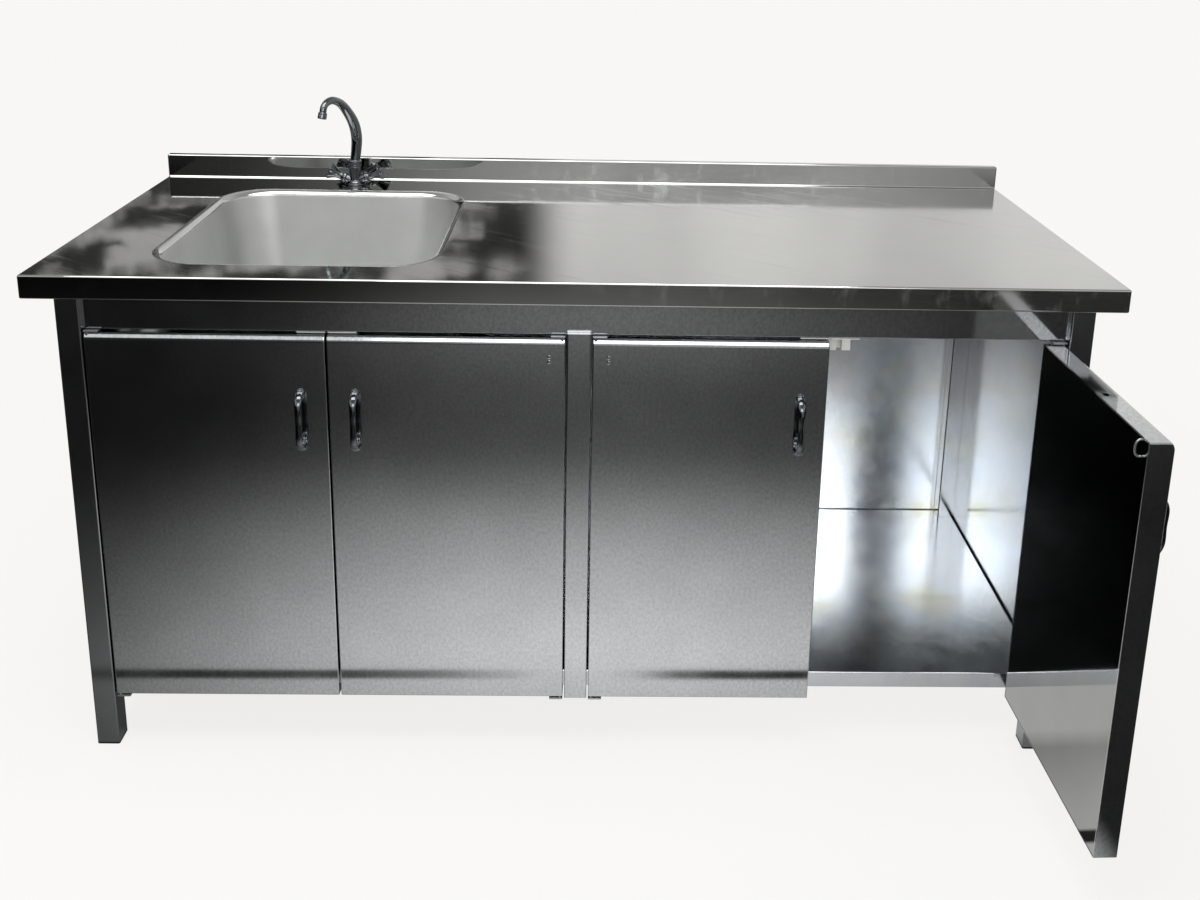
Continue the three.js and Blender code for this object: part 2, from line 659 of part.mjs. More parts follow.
// The shelf is a shallow tray turned upside down, notched round the four legs.
function shelf() {
  const side = LEG_OUTER_X - PANEL_INSET - SHEET - 0.5;
  const back = LEG_BACK_Y - PANEL_INSET - SHEET - 0.5;
  const notch = 0.5;
  const outline = [
    [-LEG_INNER_X + notch, STOP_Y], [LEG_INNER_X - notch, STOP_Y],
    [LEG_INNER_X - notch, FRONT_LEG_BACK + notch], [side, FRONT_LEG_BACK + notch],
    [side, REAR_LEG_FRONT - notch], [LEG_INNER_X - notch, REAR_LEG_FRONT - notch],
    [LEG_INNER_X - notch, back], [-LEG_INNER_X + notch, back],
    [-LEG_INNER_X + notch, REAR_LEG_FRONT - notch], [-side, REAR_LEG_FRONT - notch],
    [-side, FRONT_LEG_BACK + notch], [-LEG_INNER_X + notch, FRONT_LEG_BACK + notch],
  ].map(([x, y]) => new THREE.Vector2(x, y));
  const top = new THREE.ExtrudeGeometry(new THREE.Shape(outline), { depth: SHEET, bevelEnabled: false });
  top.translate(0, 0, SHELF_TOP - SHEET);
  const reach = LEG_INNER_X - notch;
  return join(
    top,
    slab(-reach, reach, STOP_Y, STOP_Y + SHEET, PANEL_BOTTOM, SHELF_TOP - SHEET / 2),
    slab(-reach, reach, STOP_Y + SHEET / 2, STOP_Y + FLANGE, PANEL_BOTTOM, PANEL_BOTTOM + SHEET),
    slab(-reach, reach, back - SHEET, back, PANEL_BOTTOM, SHELF_TOP - SHEET / 2),
  );
}

function shelfStiffener() {
  const under = SHELF_TOP - SHEET;
  const back = LEG_BACK_Y - PANEL_INSET - SHEET * 2 - 1;
  const half = SHELF_CHANNEL_HALF;
  const inside = half - SHEET;
  const low = under - SHELF_CHANNEL_DROP;
  const channel = slab(-half, half, STOP_Y + FLANGE + 1, back, low, under);
  return cut(channel, slab(-inside, inside, STOP_Y, LEG_BACK_Y, low - 1, under - SHEET));
}

function sidePanel(side) {
  const outer = side * (LEG_OUTER_X - PANEL_INSET);
  const inner = outer - side * SHEET;
  const front = FRONT_LEG_BACK + 0.5;
  const back = REAR_LEG_FRONT - 0.5;
  return join(
    slab(outer, inner, front, back, PANEL_BOTTOM, PANEL_TOP),
    slab(outer, outer - side * FLANGE, front, back, PANEL_TOP - SHEET, PANEL_TOP),
    slab(outer, outer - side * FLANGE, front, back, PANEL_BOTTOM, PANEL_BOTTOM + SHEET),
  );
}

function backPanel() {
  const outer = LEG_BACK_Y - PANEL_INSET;
  const reach = LEG_INNER_X - 0.5;
  return join(
    slab(-reach, reach, outer, outer - SHEET, PANEL_BOTTOM, PANEL_TOP),
    slab(-reach, reach, outer, outer - FLANGE, PANEL_TOP - SHEET, PANEL_TOP),
  );
}

place('mullion', mullion(), TUBE_STEEL);
place('front_apron', apron(), SATIN_STEEL);
place('base_shelf', shelf(), MIRROR_STEEL);
place('shelf_stiffener', shelfStiffener(), SATIN_STEEL);
place('side_panel_left', sidePanel(-1), SATIN_STEEL);
place('side_panel_right', sidePanel(1), SATIN_STEEL);
place('back_panel', backPanel(), SATIN_STEEL);

// Doors ----------------------------------------------------------------------------------

// A door is drawn from its pivot axis. `way` is the side that its free edge lies on.
const DOOR_WIDTH = LEG_INNER_X - DOOR_GAP - PAIR_CENTRE - DOOR_GAP / 2;
const HINGE_EDGE = -PIVOT_INSET;
const FREE_EDGE = DOOR_WIDTH - PIVOT_INSET;
const FACE = -PIVOT_INSET;
const REAR = FACE + DOOR_THICK;

function pinHoles() {
  return [bar(0, 0, DOOR_BOTTOM - 5, DOOR_BOTTOM + 5, PIN_HOLE, 20),
    bar(0, 0, DOOR_TOP - 5, DOOR_TOP + 5, PIN_HOLE, 20)];
}

// The outer pan: the front sheet folded back round all four edges.
function doorPan(way) {
  const block = slab(way * HINGE_EDGE, way * FREE_EDGE, FACE, REAR, DOOR_BOTTOM, DOOR_TOP);
  const hollow = slab(
    way * (HINGE_EDGE + SHEET), way * (FREE_EDGE - SHEET), FACE + SHEET, REAR + 1,
    DOOR_BOTTOM + SHEET, DOOR_TOP - SHEET,
  );
  const drain = bar(
    way * (DRAIN_HOLE_FROM_HINGE + HINGE_EDGE), REAR - DRAIN_HOLE_FROM_REAR,
    DOOR_TOP - 5, DOOR_TOP + 5, DRAIN_HOLE, 20,
  );
  return cut(block, hollow, drain, ...pinHoles());
}

// The inner liner: a flat sheet with a turned edge that slips inside the pan.
function doorLiner(way) {
  const inset = SHEET + LINER_GAP;
  const front = REAR - LINER_EDGE;
  const block = slab(
    way * (HINGE_EDGE + inset), way * (FREE_EDGE - inset), front, REAR,
    DOOR_BOTTOM + inset, DOOR_TOP - inset,
  );
  const rim = inset + SHEET;
  const hollow = slab(
    way * (HINGE_EDGE + rim), way * (FREE_EDGE - rim), front - 1, REAR - SHEET,
    DOOR_BOTTOM + rim, DOOR_TOP - rim,
  );
  return cut(block, hollow);
}

// A bow handle: a flattened bar that springs from two flared feet.
function doorHandle(way) {
  const half = HANDLE_LENGTH / 2;
  const root = FACE - RUN_GAP;
  const footLift = 3;
  const arch = new THREE.CatmullRomCurve3([
    [root - footLift, -half + 7], [root - HANDLE_REACH * 0.55, -half + 13],
    [root - HANDLE_REACH + 3, -half + 27], [root - HANDLE_REACH + 3.5, 0],
    [root - HANDLE_REACH + 3, half - 27], [root - HANDLE_REACH * 0.55, half - 13],
    [root - footLift, half - 7],
  ].map(([y, z]) => new THREE.Vector3(0, y, z)));
  const swell = (t) => 3.6 - 0.7 * Math.cos(Math.PI * (2 * t - 1));
  const grip = sweptBar(arch, swell, new THREE.Vector3(1, 0, 0), 16, 10, 1.75);
  const feet = [-1, 1].map((end) => turned([
    [0, 0], [HANDLE_FOOT_RADIUS, 0], [HANDLE_FOOT_RADIUS, 1.5], [5.5, 4], [0, 5],
  ], 14).rotateX(Math.PI / 2).scale(1, 1, 1.25)
    .translate(0, root, end * (half - HANDLE_FOOT_RADIUS)));
  const x = way * (FREE_EDGE - HANDLE_FROM_FREE_EDGE);
  return join(grip, ...feet).translate(x, 0, HANDLE_CENTRE_Z);
}

// The strike is a bent wire staple, upright, that enters the catch as the door shuts.
function doorStrike(way) {
  const x = way * (FREE_EDGE - STRIKE_FROM_FREE_EDGE);
  const root = REAR + RUN_GAP;
  const half = STRIKE_HEIGHT / 2 - STRIKE_WIRE_RADIUS;
  const out = root + STRIKE_REACH - STRIKE_WIRE_RADIUS;
  const bow = new THREE.CatmullRomCurve3([
    [root, -half], [root + STRIKE_REACH * 0.4, -half], [out - 1, -half * 0.62], [out, 0],
    [out - 1, half * 0.62], [root + STRIKE_REACH * 0.4, half], [root, half],
  ].map(([y, z]) => new THREE.Vector3(0, y, z)));
  const wire = () => STRIKE_WIRE_RADIUS;
  return sweptBar(bow, wire, new THREE.Vector3(1, 0, 0), 20, 10).translate(x, 0, CATCH_Z);
}

// A sheet section drawn in the X-Z plane and run along Y.
function runAlongY(points, ya, yb) {
  const section = new THREE.Shape(points.map(([x, z]) => new THREE.Vector2(x, z)));
  const geometry = new THREE.ExtrudeGeometry(section, { depth: yb - ya, bevelEnabled: false });
  return geometry.rotateX(Math.PI / 2).translate(0, yb, 0);
}

// Two jaws on a back plate, hung from the apron's lower edge by a plate over the door. The plate
// has a sloping ear on the side of its door's hinge.
function catchBody(x, way) {
  const front = DOOR_BACK_Y + 2;
  const back = front + CATCH_DEPTH + 3;
  const top = APRON_BOTTOM - RUN_GAP;
  const plateLow = top - CATCH_PLATE;
  const hingeSide = -way;
  const ear = hingeSide * (CATCH_HALF + CATCH_EAR);
  const outline = [
    [-hingeSide * CATCH_HALF, CATCH_LOW], [hingeSide * CATCH_HALF, CATCH_LOW],
    [hingeSide * CATCH_HALF, plateLow - CATCH_EAR], [ear, plateLow], [ear, top],
    [-hingeSide * CATCH_HALF, top],
  ];
  const block = runAlongY(hingeSide > 0 ? outline : outline.reverse(), front, back);
  const mouth = slab(
    -CATCH_MOUTH / 2, CATCH_MOUTH / 2, front - 1, front + CATCH_DEPTH, CATCH_LOW - 1, plateLow,
  );
  const plate = slab(-hingeSide * CATCH_HALF, ear, APRON_Y, back, plateLow, top);
  return join(cut(block, mouth), plate).translate(x, 0, 0);
}

function pivotBracket(x, way, top) {
  // an angle plate with a fixed pin; `way` is the side that the door lies on
  const inner = x - way * PIVOT_INSET;
  const outer = inner + way * PIVOT_PLATE_LENGTH;
  const pinY = LEG_FRONT_Y + PIVOT_INSET;
  if (top) {
    const under = APRON_BOTTOM - RUN_GAP;
    return join(
      slab(inner, outer, LEG_FRONT_Y, APRON_Y + APRON_RETURN, under - TOP_PIVOT_PLATE, under),
      bar(x, pinY, DOOR_TOP - PIN_REACH, under - 1, PIN_RADIUS, 20),
    );
  }
  const over = PANEL_BOTTOM;
  return join(
    slab(inner, outer, LEG_FRONT_Y, STOP_Y + FLANGE - 2, over - PIVOT_PLATE, over),
    bar(x, pinY, over - PIVOT_PLATE / 2, DOOR_BOTTOM + PIN_REACH, PIN_RADIUS, 20),
  );
}

const SIDE_PIVOT = LEG_INNER_X - DOOR_GAP - PIVOT_INSET;
const POST_PIVOT = MULLION_HALF + DOOR_GAP + PIVOT_INSET;

const doors = [
  { number: 1, pivot: -SIDE_PIVOT, way: 1, open: 0 },
  { number: 2, pivot: -POST_PIVOT, way: -1, open: 0 },
  { number: 3, pivot: POST_PIVOT, way: 1, open: 0 },
  { number: 4, pivot: SIDE_PIVOT, way: -1, open: DOOR_4_OPEN },
];

doors.forEach(({ number, pivot, way, open }) => {
  const leaf = new THREE.Group();
  leaf.position.set(pivot, LEG_FRONT_Y + PIVOT_INSET, 0);
  leaf.rotation.z = -way * open;
  unit.add(leaf);
  place(`door_${number}_pan`, doorPan(way), SATIN_STEEL, leaf);
  place(`door_${number}_liner`, doorLiner(way), SATIN_STEEL, leaf);
  place(`door_${number}_handle`, doorHandle(way), CHROME, leaf);
  place(`door_${number}_strike`, doorStrike(way), ZINC, leaf);
  place(`pivot_bottom_${number}`, pivotBracket(pivot, way, false), ZINC);
  place(`pivot_top_${number}`, pivotBracket(pivot, way, true), ZINC);
  const strikeX = pivot + way * (FREE_EDGE - STRIKE_FROM_FREE_EDGE);
  place(`catch_${number}`, catchBody(strikeX, way), WHITE_PLASTIC);
});

export default unit;
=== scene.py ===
"""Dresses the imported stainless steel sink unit: folded sheet, a pressed bowl, chrome fittings,
and the pale studio that it is photographed in. Metres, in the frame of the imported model."""

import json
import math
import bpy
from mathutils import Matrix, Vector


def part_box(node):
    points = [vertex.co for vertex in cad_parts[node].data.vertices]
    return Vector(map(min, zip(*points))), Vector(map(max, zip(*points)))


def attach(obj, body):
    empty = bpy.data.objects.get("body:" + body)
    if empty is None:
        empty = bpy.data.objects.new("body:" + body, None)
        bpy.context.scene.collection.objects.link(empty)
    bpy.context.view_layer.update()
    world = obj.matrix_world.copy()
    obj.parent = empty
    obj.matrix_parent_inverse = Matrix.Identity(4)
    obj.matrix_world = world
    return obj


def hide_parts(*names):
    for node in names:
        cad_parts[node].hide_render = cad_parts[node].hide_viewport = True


bl_info = {
    "name": "Stainless sink unit",
    "version": (1, 0, 0),
    "blender": (4, 5, 0),
    "location": "3D View > Sidebar > Sink unit",
    "description": "Models and finishes the visible pieces of a stainless steel sink unit",
    "category": "Object",
}

import bmesh
import bpy
from mathutils import Matrix, Vector

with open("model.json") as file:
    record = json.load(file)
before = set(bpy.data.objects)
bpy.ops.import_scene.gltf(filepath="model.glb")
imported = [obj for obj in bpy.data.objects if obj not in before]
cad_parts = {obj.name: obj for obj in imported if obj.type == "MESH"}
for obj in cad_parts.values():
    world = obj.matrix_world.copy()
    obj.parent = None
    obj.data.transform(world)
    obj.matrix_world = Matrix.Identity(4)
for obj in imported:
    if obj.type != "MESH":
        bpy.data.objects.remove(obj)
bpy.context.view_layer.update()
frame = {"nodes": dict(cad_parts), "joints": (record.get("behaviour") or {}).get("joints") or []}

MM = 0.001
SAME_PLACE = 1e-5
SAME_POINT = 1e-6
FACING = 0.9
SIDES = ((-1, "left"), (1, "right"))


def node_box(name):
    """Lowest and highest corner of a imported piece, as two vectors."""
    low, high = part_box(name)
    return Vector(low), Vector(high)


def joint(name):
    return next(j for j in frame["joints"] if j["name"] == name)


def turn(degrees, axis):
    return Matrix.Rotation(math.radians(degrees), 4, axis)


# Places that several pieces are drawn from --------------------------------------------------

WORKTOP_LOW, WORKTOP_HIGH = node_box("worktop")
BOWL_LOW, BOWL_HIGH = node_box("sink_bowl")
APRON_FRONT = node_box("front_apron")[0].y
WORKTOP_TOP = 900 * MM
TAP_FOOT = Vector((*joint("spout_swivel")["pos_m"][:2], WORKTOP_TOP))
BOWL_RIM_GAP = 0.3 * MM
BOWL_FLANGE = 6 * MM
BOWL_CENTRE = (BOWL_LOW + BOWL_HIGH) / 2
BOWL_HALF = (BOWL_HIGH - BOWL_LOW) / 2 - Vector((BOWL_FLANGE, BOWL_FLANGE, 0))
UNDER_BOWL = Vector((BOWL_CENTRE.x, BOWL_CENTRE.y, 0))


# Sizes, colours and the studio, as a user would change them --------------------------------


def linear_colour(code):
    """An sRGB hex colour such as "#8F9194" as linear red, green and blue."""
    channels = [int(code[i:i + 2], 16) / 255 for i in (1, 3, 5)]
    return [c / 12.92 if c <= 0.04045 else ((c + 0.055) / 1.055) ** 2.4 for c in channels]


def length(name, description, millimetres):
    return bpy.props.FloatProperty(
        name=name, description=description, default=millimetres * MM, unit="LENGTH", precision=5,
    )


def colour(name, description, code):
    return bpy.props.FloatVectorProperty(
        name=name, description=description, default=linear_colour(code),
        subtype="COLOR", size=3, min=0.0, max=1.0,
    )


def plain(name, description, value):
    return bpy.props.FloatProperty(name=name, description=description, default=value)


class SinkUnitSizes(bpy.types.PropertyGroup):
    """Sizes of the folded sheet and its trim."""

    sheet: length("Sheet", "Thickness of the stainless sheet", 1.5)
    worktop_fold: length("Worktop fold", "Outside radius of the worktop's folds", 3.2)
    door_fold: length("Door fold", "Outside radius of the folds round a door", 2.0)
    panel_fold: length("Panel fold", "Outside radius of the folds in panels and shelf", 2.4)
    tube_corner: length("Tube corner", "Outside corner radius of the square tube", 3.0)
    lip_return: length("Lip return", "Depth of the flange under the worktop's lip", 14)
    upstand_height: length("Upstand height", "Height of the upstand above the worktop", 48)
    upstand_depth: length("Upstand depth", "Depth of the upstand from front to back", 18)
    rim_roll: length("Rim roll", "Radius where the worktop rolls over into the bowl", 14)
    bowl_corner: length("Bowl corner", "Corner radius of the bowl's rim", 92)
    bowl_taper: length("Bowl taper", "How far the bowl's walls lean in by the floor", 42)
    bowl_floor_radius: length("Bowl floor radius", "Radius where the walls meet the floor", 55)
    waste_hole: length("Waste hole", "Radius of the hole in the bowl's floor", 44)
    tap_hole: length("Tap hole", "Radius of the hole for the tap's shank", 16.5)
    drain_hole: length("Drain hole", "Radius of the hole in a door's top edge", 6)
    pin_hole: length("Pin hole", "Radius of the hole that a door's pin turns in", 3)
    liner_gap: length("Liner inset", "How far a door's liner is set in from its pan", 1.8)
    liner_fold: length("Liner fold", "Outside radius of the folds round a liner", 1.6)
    drain_from_hinge: length("Drain hole place", "From the hinge edge to the drain hole", 223)
    channel_brim: length("Channel brim", "Width of the brims under the worktop", 16)
    flange: length("Flange", "Depth of the return under the shelf's front flange", 18)
    shelf_gap: length("Shelf gap", "Gap between the shelf and the panels round it", 2)
    door_slope: length("Door slope", "Height of the soft slope along a door's top edge", 9)
    door_slope_depth: length("Door slope depth", "How far that slope leans back", 4.2)
    weld_spot: length("Weld spot", "Radius of a spot weld's mark", 3.2)
    edge_break: length("Edge break", "Radius of a plain sheared and deburred edge", 0.3)


class SinkUnitColours(bpy.types.PropertyGroup):
    """Base colours of the finishes."""

    mirror_steel: colour("Mirror steel", "Bright polished sheet of the worktop", "#C6C7C5")
    satin_steel: colour("Satin steel", "Polished stainless sheet of the doors", "#D6D8DA")
    bowl_steel: colour("Bowl steel", "Matt pressed stainless of the bowl", "#CBCCCB")
    inner_steel: colour("Inner steel", "Mill finish sheet inside the cupboard", "#E4E7EA")
    # A warm yellow laid into random patches of the inner sheet as painted reflection.
    painted_glint_tint: colour("Heat tint", "Straw colour that a weld leaves in the sheet", "#DDD5A4")
    tube_steel: colour("Tube steel", "Polished stainless tube", "#A9ABAD")
    # Chrome plate's grey, darkened well below real chrome as painted shade of the dark room that the tap
    # and handles reflect.
    chrome: colour("Chrome", "Bright chrome plate on the tap and handles", "#6C6F72")
    zinc: colour("Zinc", "Zinc plate on the small fittings", "#AEB2B4")
    black_plastic: colour("Black plastic", "Moulded black feet", "#191A1B")
    white_plastic: colour("White plastic", "Moulded white trap and catches", "#E9E9E6")


class SinkUnitStudio(bpy.types.PropertyGroup):
    """The camera and the plain pale studio."""

    background: colour("Background", "Colour of the floor and the backdrop", "#F8F7F5")
    lens: plain("Lens", "Focal length on a 36 mm wide sensor", 37.455)
    shift_x: plain("Shift X", "Sideways shift of the photograph's framing", -0.0179)
    shift_y: plain("Shift Y", "Upright shift of the photograph's framing", -0.1875)


# Mesh helpers ------------------------------------------------------------------------------


def block(mesh, low, high):
    """Adds a box between two corners."""
    low, high = Vector(low), Vector(high)
    place = Matrix.Translation((low + high) / 2) @ Matrix.Diagonal((*(high - low), 1.0))
    bmesh.ops.create_cube(mesh, size=1.0, matrix=place)


def rounded_block(low, high, corner, segments=4, rim=None):
    """A box with round upright corners and, if asked for, a soft rim at both ends."""
    mesh = bmesh.new()
    block(mesh, low, high)
    upright = [e for e in mesh.edges if not lies_at(e, 2, e.verts[0].co.z)]
    round_edges(mesh, upright, corner, segments)
    if rim:
        round_edges(mesh, folds(mesh, 60), rim, 2)
    return mesh


def rod(centre, radius, depth, sides=32):
    """A closed upright round bar about a point."""
    mesh = bmesh.new()
    bmesh.ops.create_cone(
        mesh, cap_ends=True, segments=sides, radius1=radius, radius2=radius, depth=depth,
        matrix=Matrix.Translation(centre),
    )
    return mesh


def move(mesh, place):
    """Moves a bmesh by an offset or by a matrix."""
    if isinstance(place, Matrix):
        bmesh.ops.transform(mesh, matrix=place, verts=mesh.verts)
    else:
        bmesh.ops.translate(mesh, vec=place, verts=mesh.verts)
    return mesh


def new_verts(made):
    return [part for part in made if isinstance(part, bmesh.types.BMVert)]


def drop_faces_towards(mesh, *directions):
    """Removes the faces that look along the given directions."""
    mesh.normal_update()
    chosen = [f for f in mesh.faces if any(f.normal.dot(Vector(d)) > FACING for d in directions)]
    bmesh.ops.delete(mesh, geom=chosen, context="FACES")


def lies_at(edge, axis, value):
    """Whether an edge lies in the plane square to an axis at a value."""
    return all(abs(vert.co[axis] - value) < SAME_PLACE for vert in edge.verts)


def folds(mesh, steepest=20):
    """The edges where two faces meet at more than an angle in degrees."""
    mesh.normal_update()
    limit = math.radians(steepest)
    return [e for e in mesh.edges if len(e.link_faces) == 2 and e.calc_face_angle() > limit]


def round_edges(mesh, edges, radius, segments=4):
    bmesh.ops.bevel(
        mesh, geom=edges, offset=radius, offset_type="OFFSET", segments=segments, profile=0.5,
        affect="EDGES", material=-1, clamp_overlap=True,
    )


def slit(mesh, place, square_to):
    """Cuts new edges into all the faces along a plane."""
    bmesh.ops.bisect_plane(
        mesh, geom=mesh.verts[:] + mesh.edges[:] + mesh.faces[:], plane_co=place, plane_no=square_to,
    )


def drop_flat_edges(mesh):
    """Joins faces that lie in one plane."""
    bmesh.ops.dissolve_limit(
        mesh, angle_limit=math.radians(0.5), verts=mesh.verts, edges=mesh.edges,
        use_dissolve_boundaries=False, delimit=set(),
    )


def extrude_edges(mesh, edges, offset=(0, 0, 0)):
    """Draws a strip out of open edges and returns its new vertices and edges."""
    made = bmesh.ops.extrude_edge_only(mesh, edges=edges)["geom"]
    verts = new_verts(made)
    bmesh.ops.translate(mesh, verts=verts, vec=offset)
    return verts, [part for part in made if isinstance(part, bmesh.types.BMEdge)]


def chain(mesh, places):
    """Adds vertices and joins each to the next."""
    verts = [mesh.verts.new(place) for place in places]
    return verts, [mesh.edges.new(pair) for pair in zip(verts, verts[1:])]


def turned(profile, steps=48):
    """Spins a (radius, height) profile in millimetres, from axis to axis, into a closed solid."""
    mesh = bmesh.new()
    verts, edges = chain(mesh, [(radius * MM, 0.0, height * MM) for radius, height in profile])
    bmesh.ops.spin(
        mesh, geom=verts + edges, cent=(0, 0, 0), axis=(0, 0, 1), dvec=(0, 0, 0),
        angle=math.tau, steps=steps, use_merge=True,
    )
    bmesh.ops.remove_doubles(mesh, verts=mesh.verts, dist=SAME_POINT)
    bmesh.ops.recalc_face_normals(mesh, faces=mesh.faces)
    return mesh


def chamfered(inner, outer, low, high, chamfer=0.5):
    """The profile of a bar or a ring with broken corners."""
    return [
        (inner, low), (outer - chamfer, low), (outer, low + chamfer), (outer, high - chamfer),
        (outer - chamfer, high), (inner, high),
    ]


def ring(inner, outer, low, high, chamfer=0.5, steps=48):
    """A turned ring with broken corners, in millimetres."""
    profile = chamfered(inner, outer, low, high, chamfer)
    return turned([*profile, profile[0]], steps)


def waved(mesh, count, factor):
    """Scales a turned piece's vertices in plan by factor(radius, height, wave), in millimetres."""
    for vert in mesh.verts:
        wave = math.cos(count * math.atan2(vert.co.y, vert.co.x))
        scale = factor(vert.co.xy.length / MM, vert.co.z / MM, wave)
        vert.co.x *= scale
        vert.co.y *= scale


def grip_ribs(mesh, count, depth, beyond, low=-math.inf, high=math.inf):
    """Presses upright grooves into the part of a turned piece beyond a radius."""

    def groove(radius, height, wave):
        if radius > beyond and low < height < high:
            return 1 - depth * (0.5 - 0.5 * wave) / radius
        return 1

    waved(mesh, count, groove)


def add_mesh(mesh, other, place=Matrix()):
    """Adds another bmesh to a bmesh, moved by a matrix, and frees it."""
    passing = bpy.data.meshes.new("passing")
    store(move(other, place), passing)
    mesh.from_mesh(passing)
    bpy.data.meshes.remove(passing)


def catmull_point(four, share):
    """A point between the second and third of four points."""
    times = [0.0]
    for near, far in zip(four, four[1:]):
        times.append(times[-1] + max((far - near).length, 1e-9) ** 0.5)
    time = times[1] + (times[2] - times[1]) * share

    def blend(a, b, ta, tb):
        return a * ((tb - time) / (tb - ta)) + b * ((time - ta) / (tb - ta))

    first = [blend(four[i], four[i + 1], times[i], times[i + 1]) for i in range(3)]
    second = [blend(first[i], first[i + 1], times[i], times[i + 2]) for i in range(2)]
    return blend(*second, times[1], times[2])


def smooth_path(points, steps):
    """Points evenly spread by parameter along a centripetal curve through the given points."""
    points = [Vector(point) for point in points]
    ends = [2 * points[0] - points[1], *points, 2 * points[-1] - points[-2]]
    spans = len(points) - 1
    path = []
    for step in range(steps + 1):
        along = step / steps * spans
        span = min(int(along), spans - 1)
        path.append(catmull_point(ends[span:span + 4], along - span))
    return path


def ring_edges(verts):
    chosen = set(verts)
    return [e for e in {e for v in verts for e in v.link_edges} if set(e.verts) <= chosen]


def swept(path, radii, flat, squash=1.0, sides=32):
    """A closed bar along a path that lies square to `flat`, with its own radius at each point."""
    mesh = bmesh.new()
    flat = Vector(flat)
    rings = []
    for index, centre in enumerate(path):
        ahead = path[min(index + 1, len(path) - 1)] - path[max(index - 1, 0)]
        across = ahead.cross(flat).normalized()
        facing = Matrix((across, flat * squash, ahead.normalized())).transposed().to_4x4()
        made = bmesh.ops.create_circle(
            mesh, cap_ends=False, radius=radii[index], segments=sides,
            matrix=Matrix.Translation(centre) @ facing,
        )
        rings.append(made["verts"])
    for near, far in zip(rings, rings[1:]):
        bmesh.ops.bridge_loops(mesh, edges=ring_edges(near) + ring_edges(far))
    for end in (rings[0], rings[-1]):
        bmesh.ops.contextual_create(mesh, geom=ring_edges(end))
    bmesh.ops.recalc_face_normals(mesh, faces=mesh.faces)
    return mesh


# Pieces ------------------------------------------------------------------------------------


def opened(data):
    """A bmesh of its own that holds a mesh's faces."""
    mesh = bmesh.new()
    mesh.from_mesh(data)
    return mesh


def store(mesh, data):
    """Writes a bmesh into a mesh and frees it."""
    mesh.to_mesh(data)
    mesh.free()


def as_object(name, mesh):
    mesh.normal_update()
    data = bpy.data.meshes.new(name)
    store(mesh, data)
    piece = bpy.data.objects.new(name, data)
    bpy.context.scene.collection.objects.link(piece)
    return piece


def modify(piece, name, kind, **settings):
    """Adds a modifier with its settings."""
    modifier = piece.modifiers.new(name, kind)
    for setting, value in settings.items():
        setattr(modifier, setting, value)


def settle(piece):
    """Makes the modifiers' result the piece's own mesh."""
    bpy.context.view_layer.update()
    depsgraph = bpy.context.evaluated_depsgraph_get()
    made = bpy.data.meshes.new_from_object(piece.evaluated_get(depsgraph))
    old = piece.data
    piece.modifiers.clear()
    piece.data = made
    bpy.data.meshes.remove(old)
    made.name = piece.name


def cut_away(piece, *cutters):
    """Cuts closed bmesh shapes out of a piece."""
    shapes = [as_object(f"{piece.name}_cutter", cutter) for cutter in cutters]
    for shape in shapes:
        modify(piece, "cut", "BOOLEAN", operation="DIFFERENCE", solver="EXACT", object=shape)
    settle(piece)
    for shape in shapes:
        bpy.data.meshes.remove(shape.data)


def thicken(piece, wall):
    """Gives an open skin its wall, inwards from the outer face."""
    modify(
        piece, "wall", "SOLIDIFY", thickness=wall, offset=-1.0, use_even_offset=True,
        use_quality_normals=True,
    )
    settle(piece)


def sheet_piece(name, skin, behind, fold, wall):
    """Makes a piece of folded sheet from an outer skin that faces away from a point."""
    bmesh.ops.recalc_face_normals(skin, faces=skin.faces)
    skin.normal_update()
    behind = Vector(behind)
    outward = sum((f.calc_center_median() - behind).dot(f.normal) * f.calc_area() for f in skin.faces)
    if outward < 0:
        bmesh.ops.reverse_faces(skin, faces=skin.faces)
    round_edges(skin, folds(skin), fold)
    piece = as_object(name, skin)
    thicken(piece, wall)
    return piece


def folded(name, section, axis, low, high, sizes):
    """Folded sheet: (a, b) points drawn square to an axis and run along it. The sheet faces away
    from the middle of the line between the section's ends."""
    skin = bmesh.new()
    verts, edges = chain(skin, [[*point[:axis], low[axis], *point[axis:]] for point in section])
    run = Vector()
    run[axis] = high[axis] - low[axis]
    behind = (verts[0].co + verts[-1].co + run) / 2
    extrude_edges(skin, edges, run)
    return sheet_piece(name, skin, behind, sizes.panel_fold, sizes.sheet)


def boxed(name, node, axis, corners, sizes):
    """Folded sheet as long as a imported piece, through corners of its box: 0 is low, 1 is high."""
    ends = node_box(node)
    first, second = (other for other in range(3) if other != axis)
    section = [(ends[a][first], ends[b][second]) for a, b in corners]
    return folded(name, section, axis, *ends, sizes)


def finish(piece, node, look, body="cabinet", edge=None, angle=50):
    """Breaks the sharp edges, shades the piece, gives it its finish and hangs it on its body."""
    if edge:
        modify(
            piece, "edge break", "BEVEL", width=edge, segments=2, limit_method="ANGLE",
            angle_limit=math.radians(angle), use_clamp_overlap=True, miter_outer="MITER_ARC",
        )
    piece.data.shade_smooth()
    modify(piece, "flat faces", "WEIGHTED_NORMAL", keep_sharp=True, weight=100)
    piece.data.materials.clear()
    piece.data.materials.append(finish_material(look))
    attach(piece, body)
    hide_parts(node)


def fit(name, mesh, node, look, body="cabinet", edge=None):
    """Makes a piece from a closed bmesh and finishes it."""
    finish(as_object(name, mesh), node, look, body, edge, angle=30)


# Materials ---------------------------------------------------------------------------------


def full_colour(value):
    """A socket as it is; a grey level or red, green and blue with alpha added."""
    if isinstance(value, bpy.types.NodeSocket):
        return value
    return (*((value,) * 3 if isinstance(value, float) else value), 1)


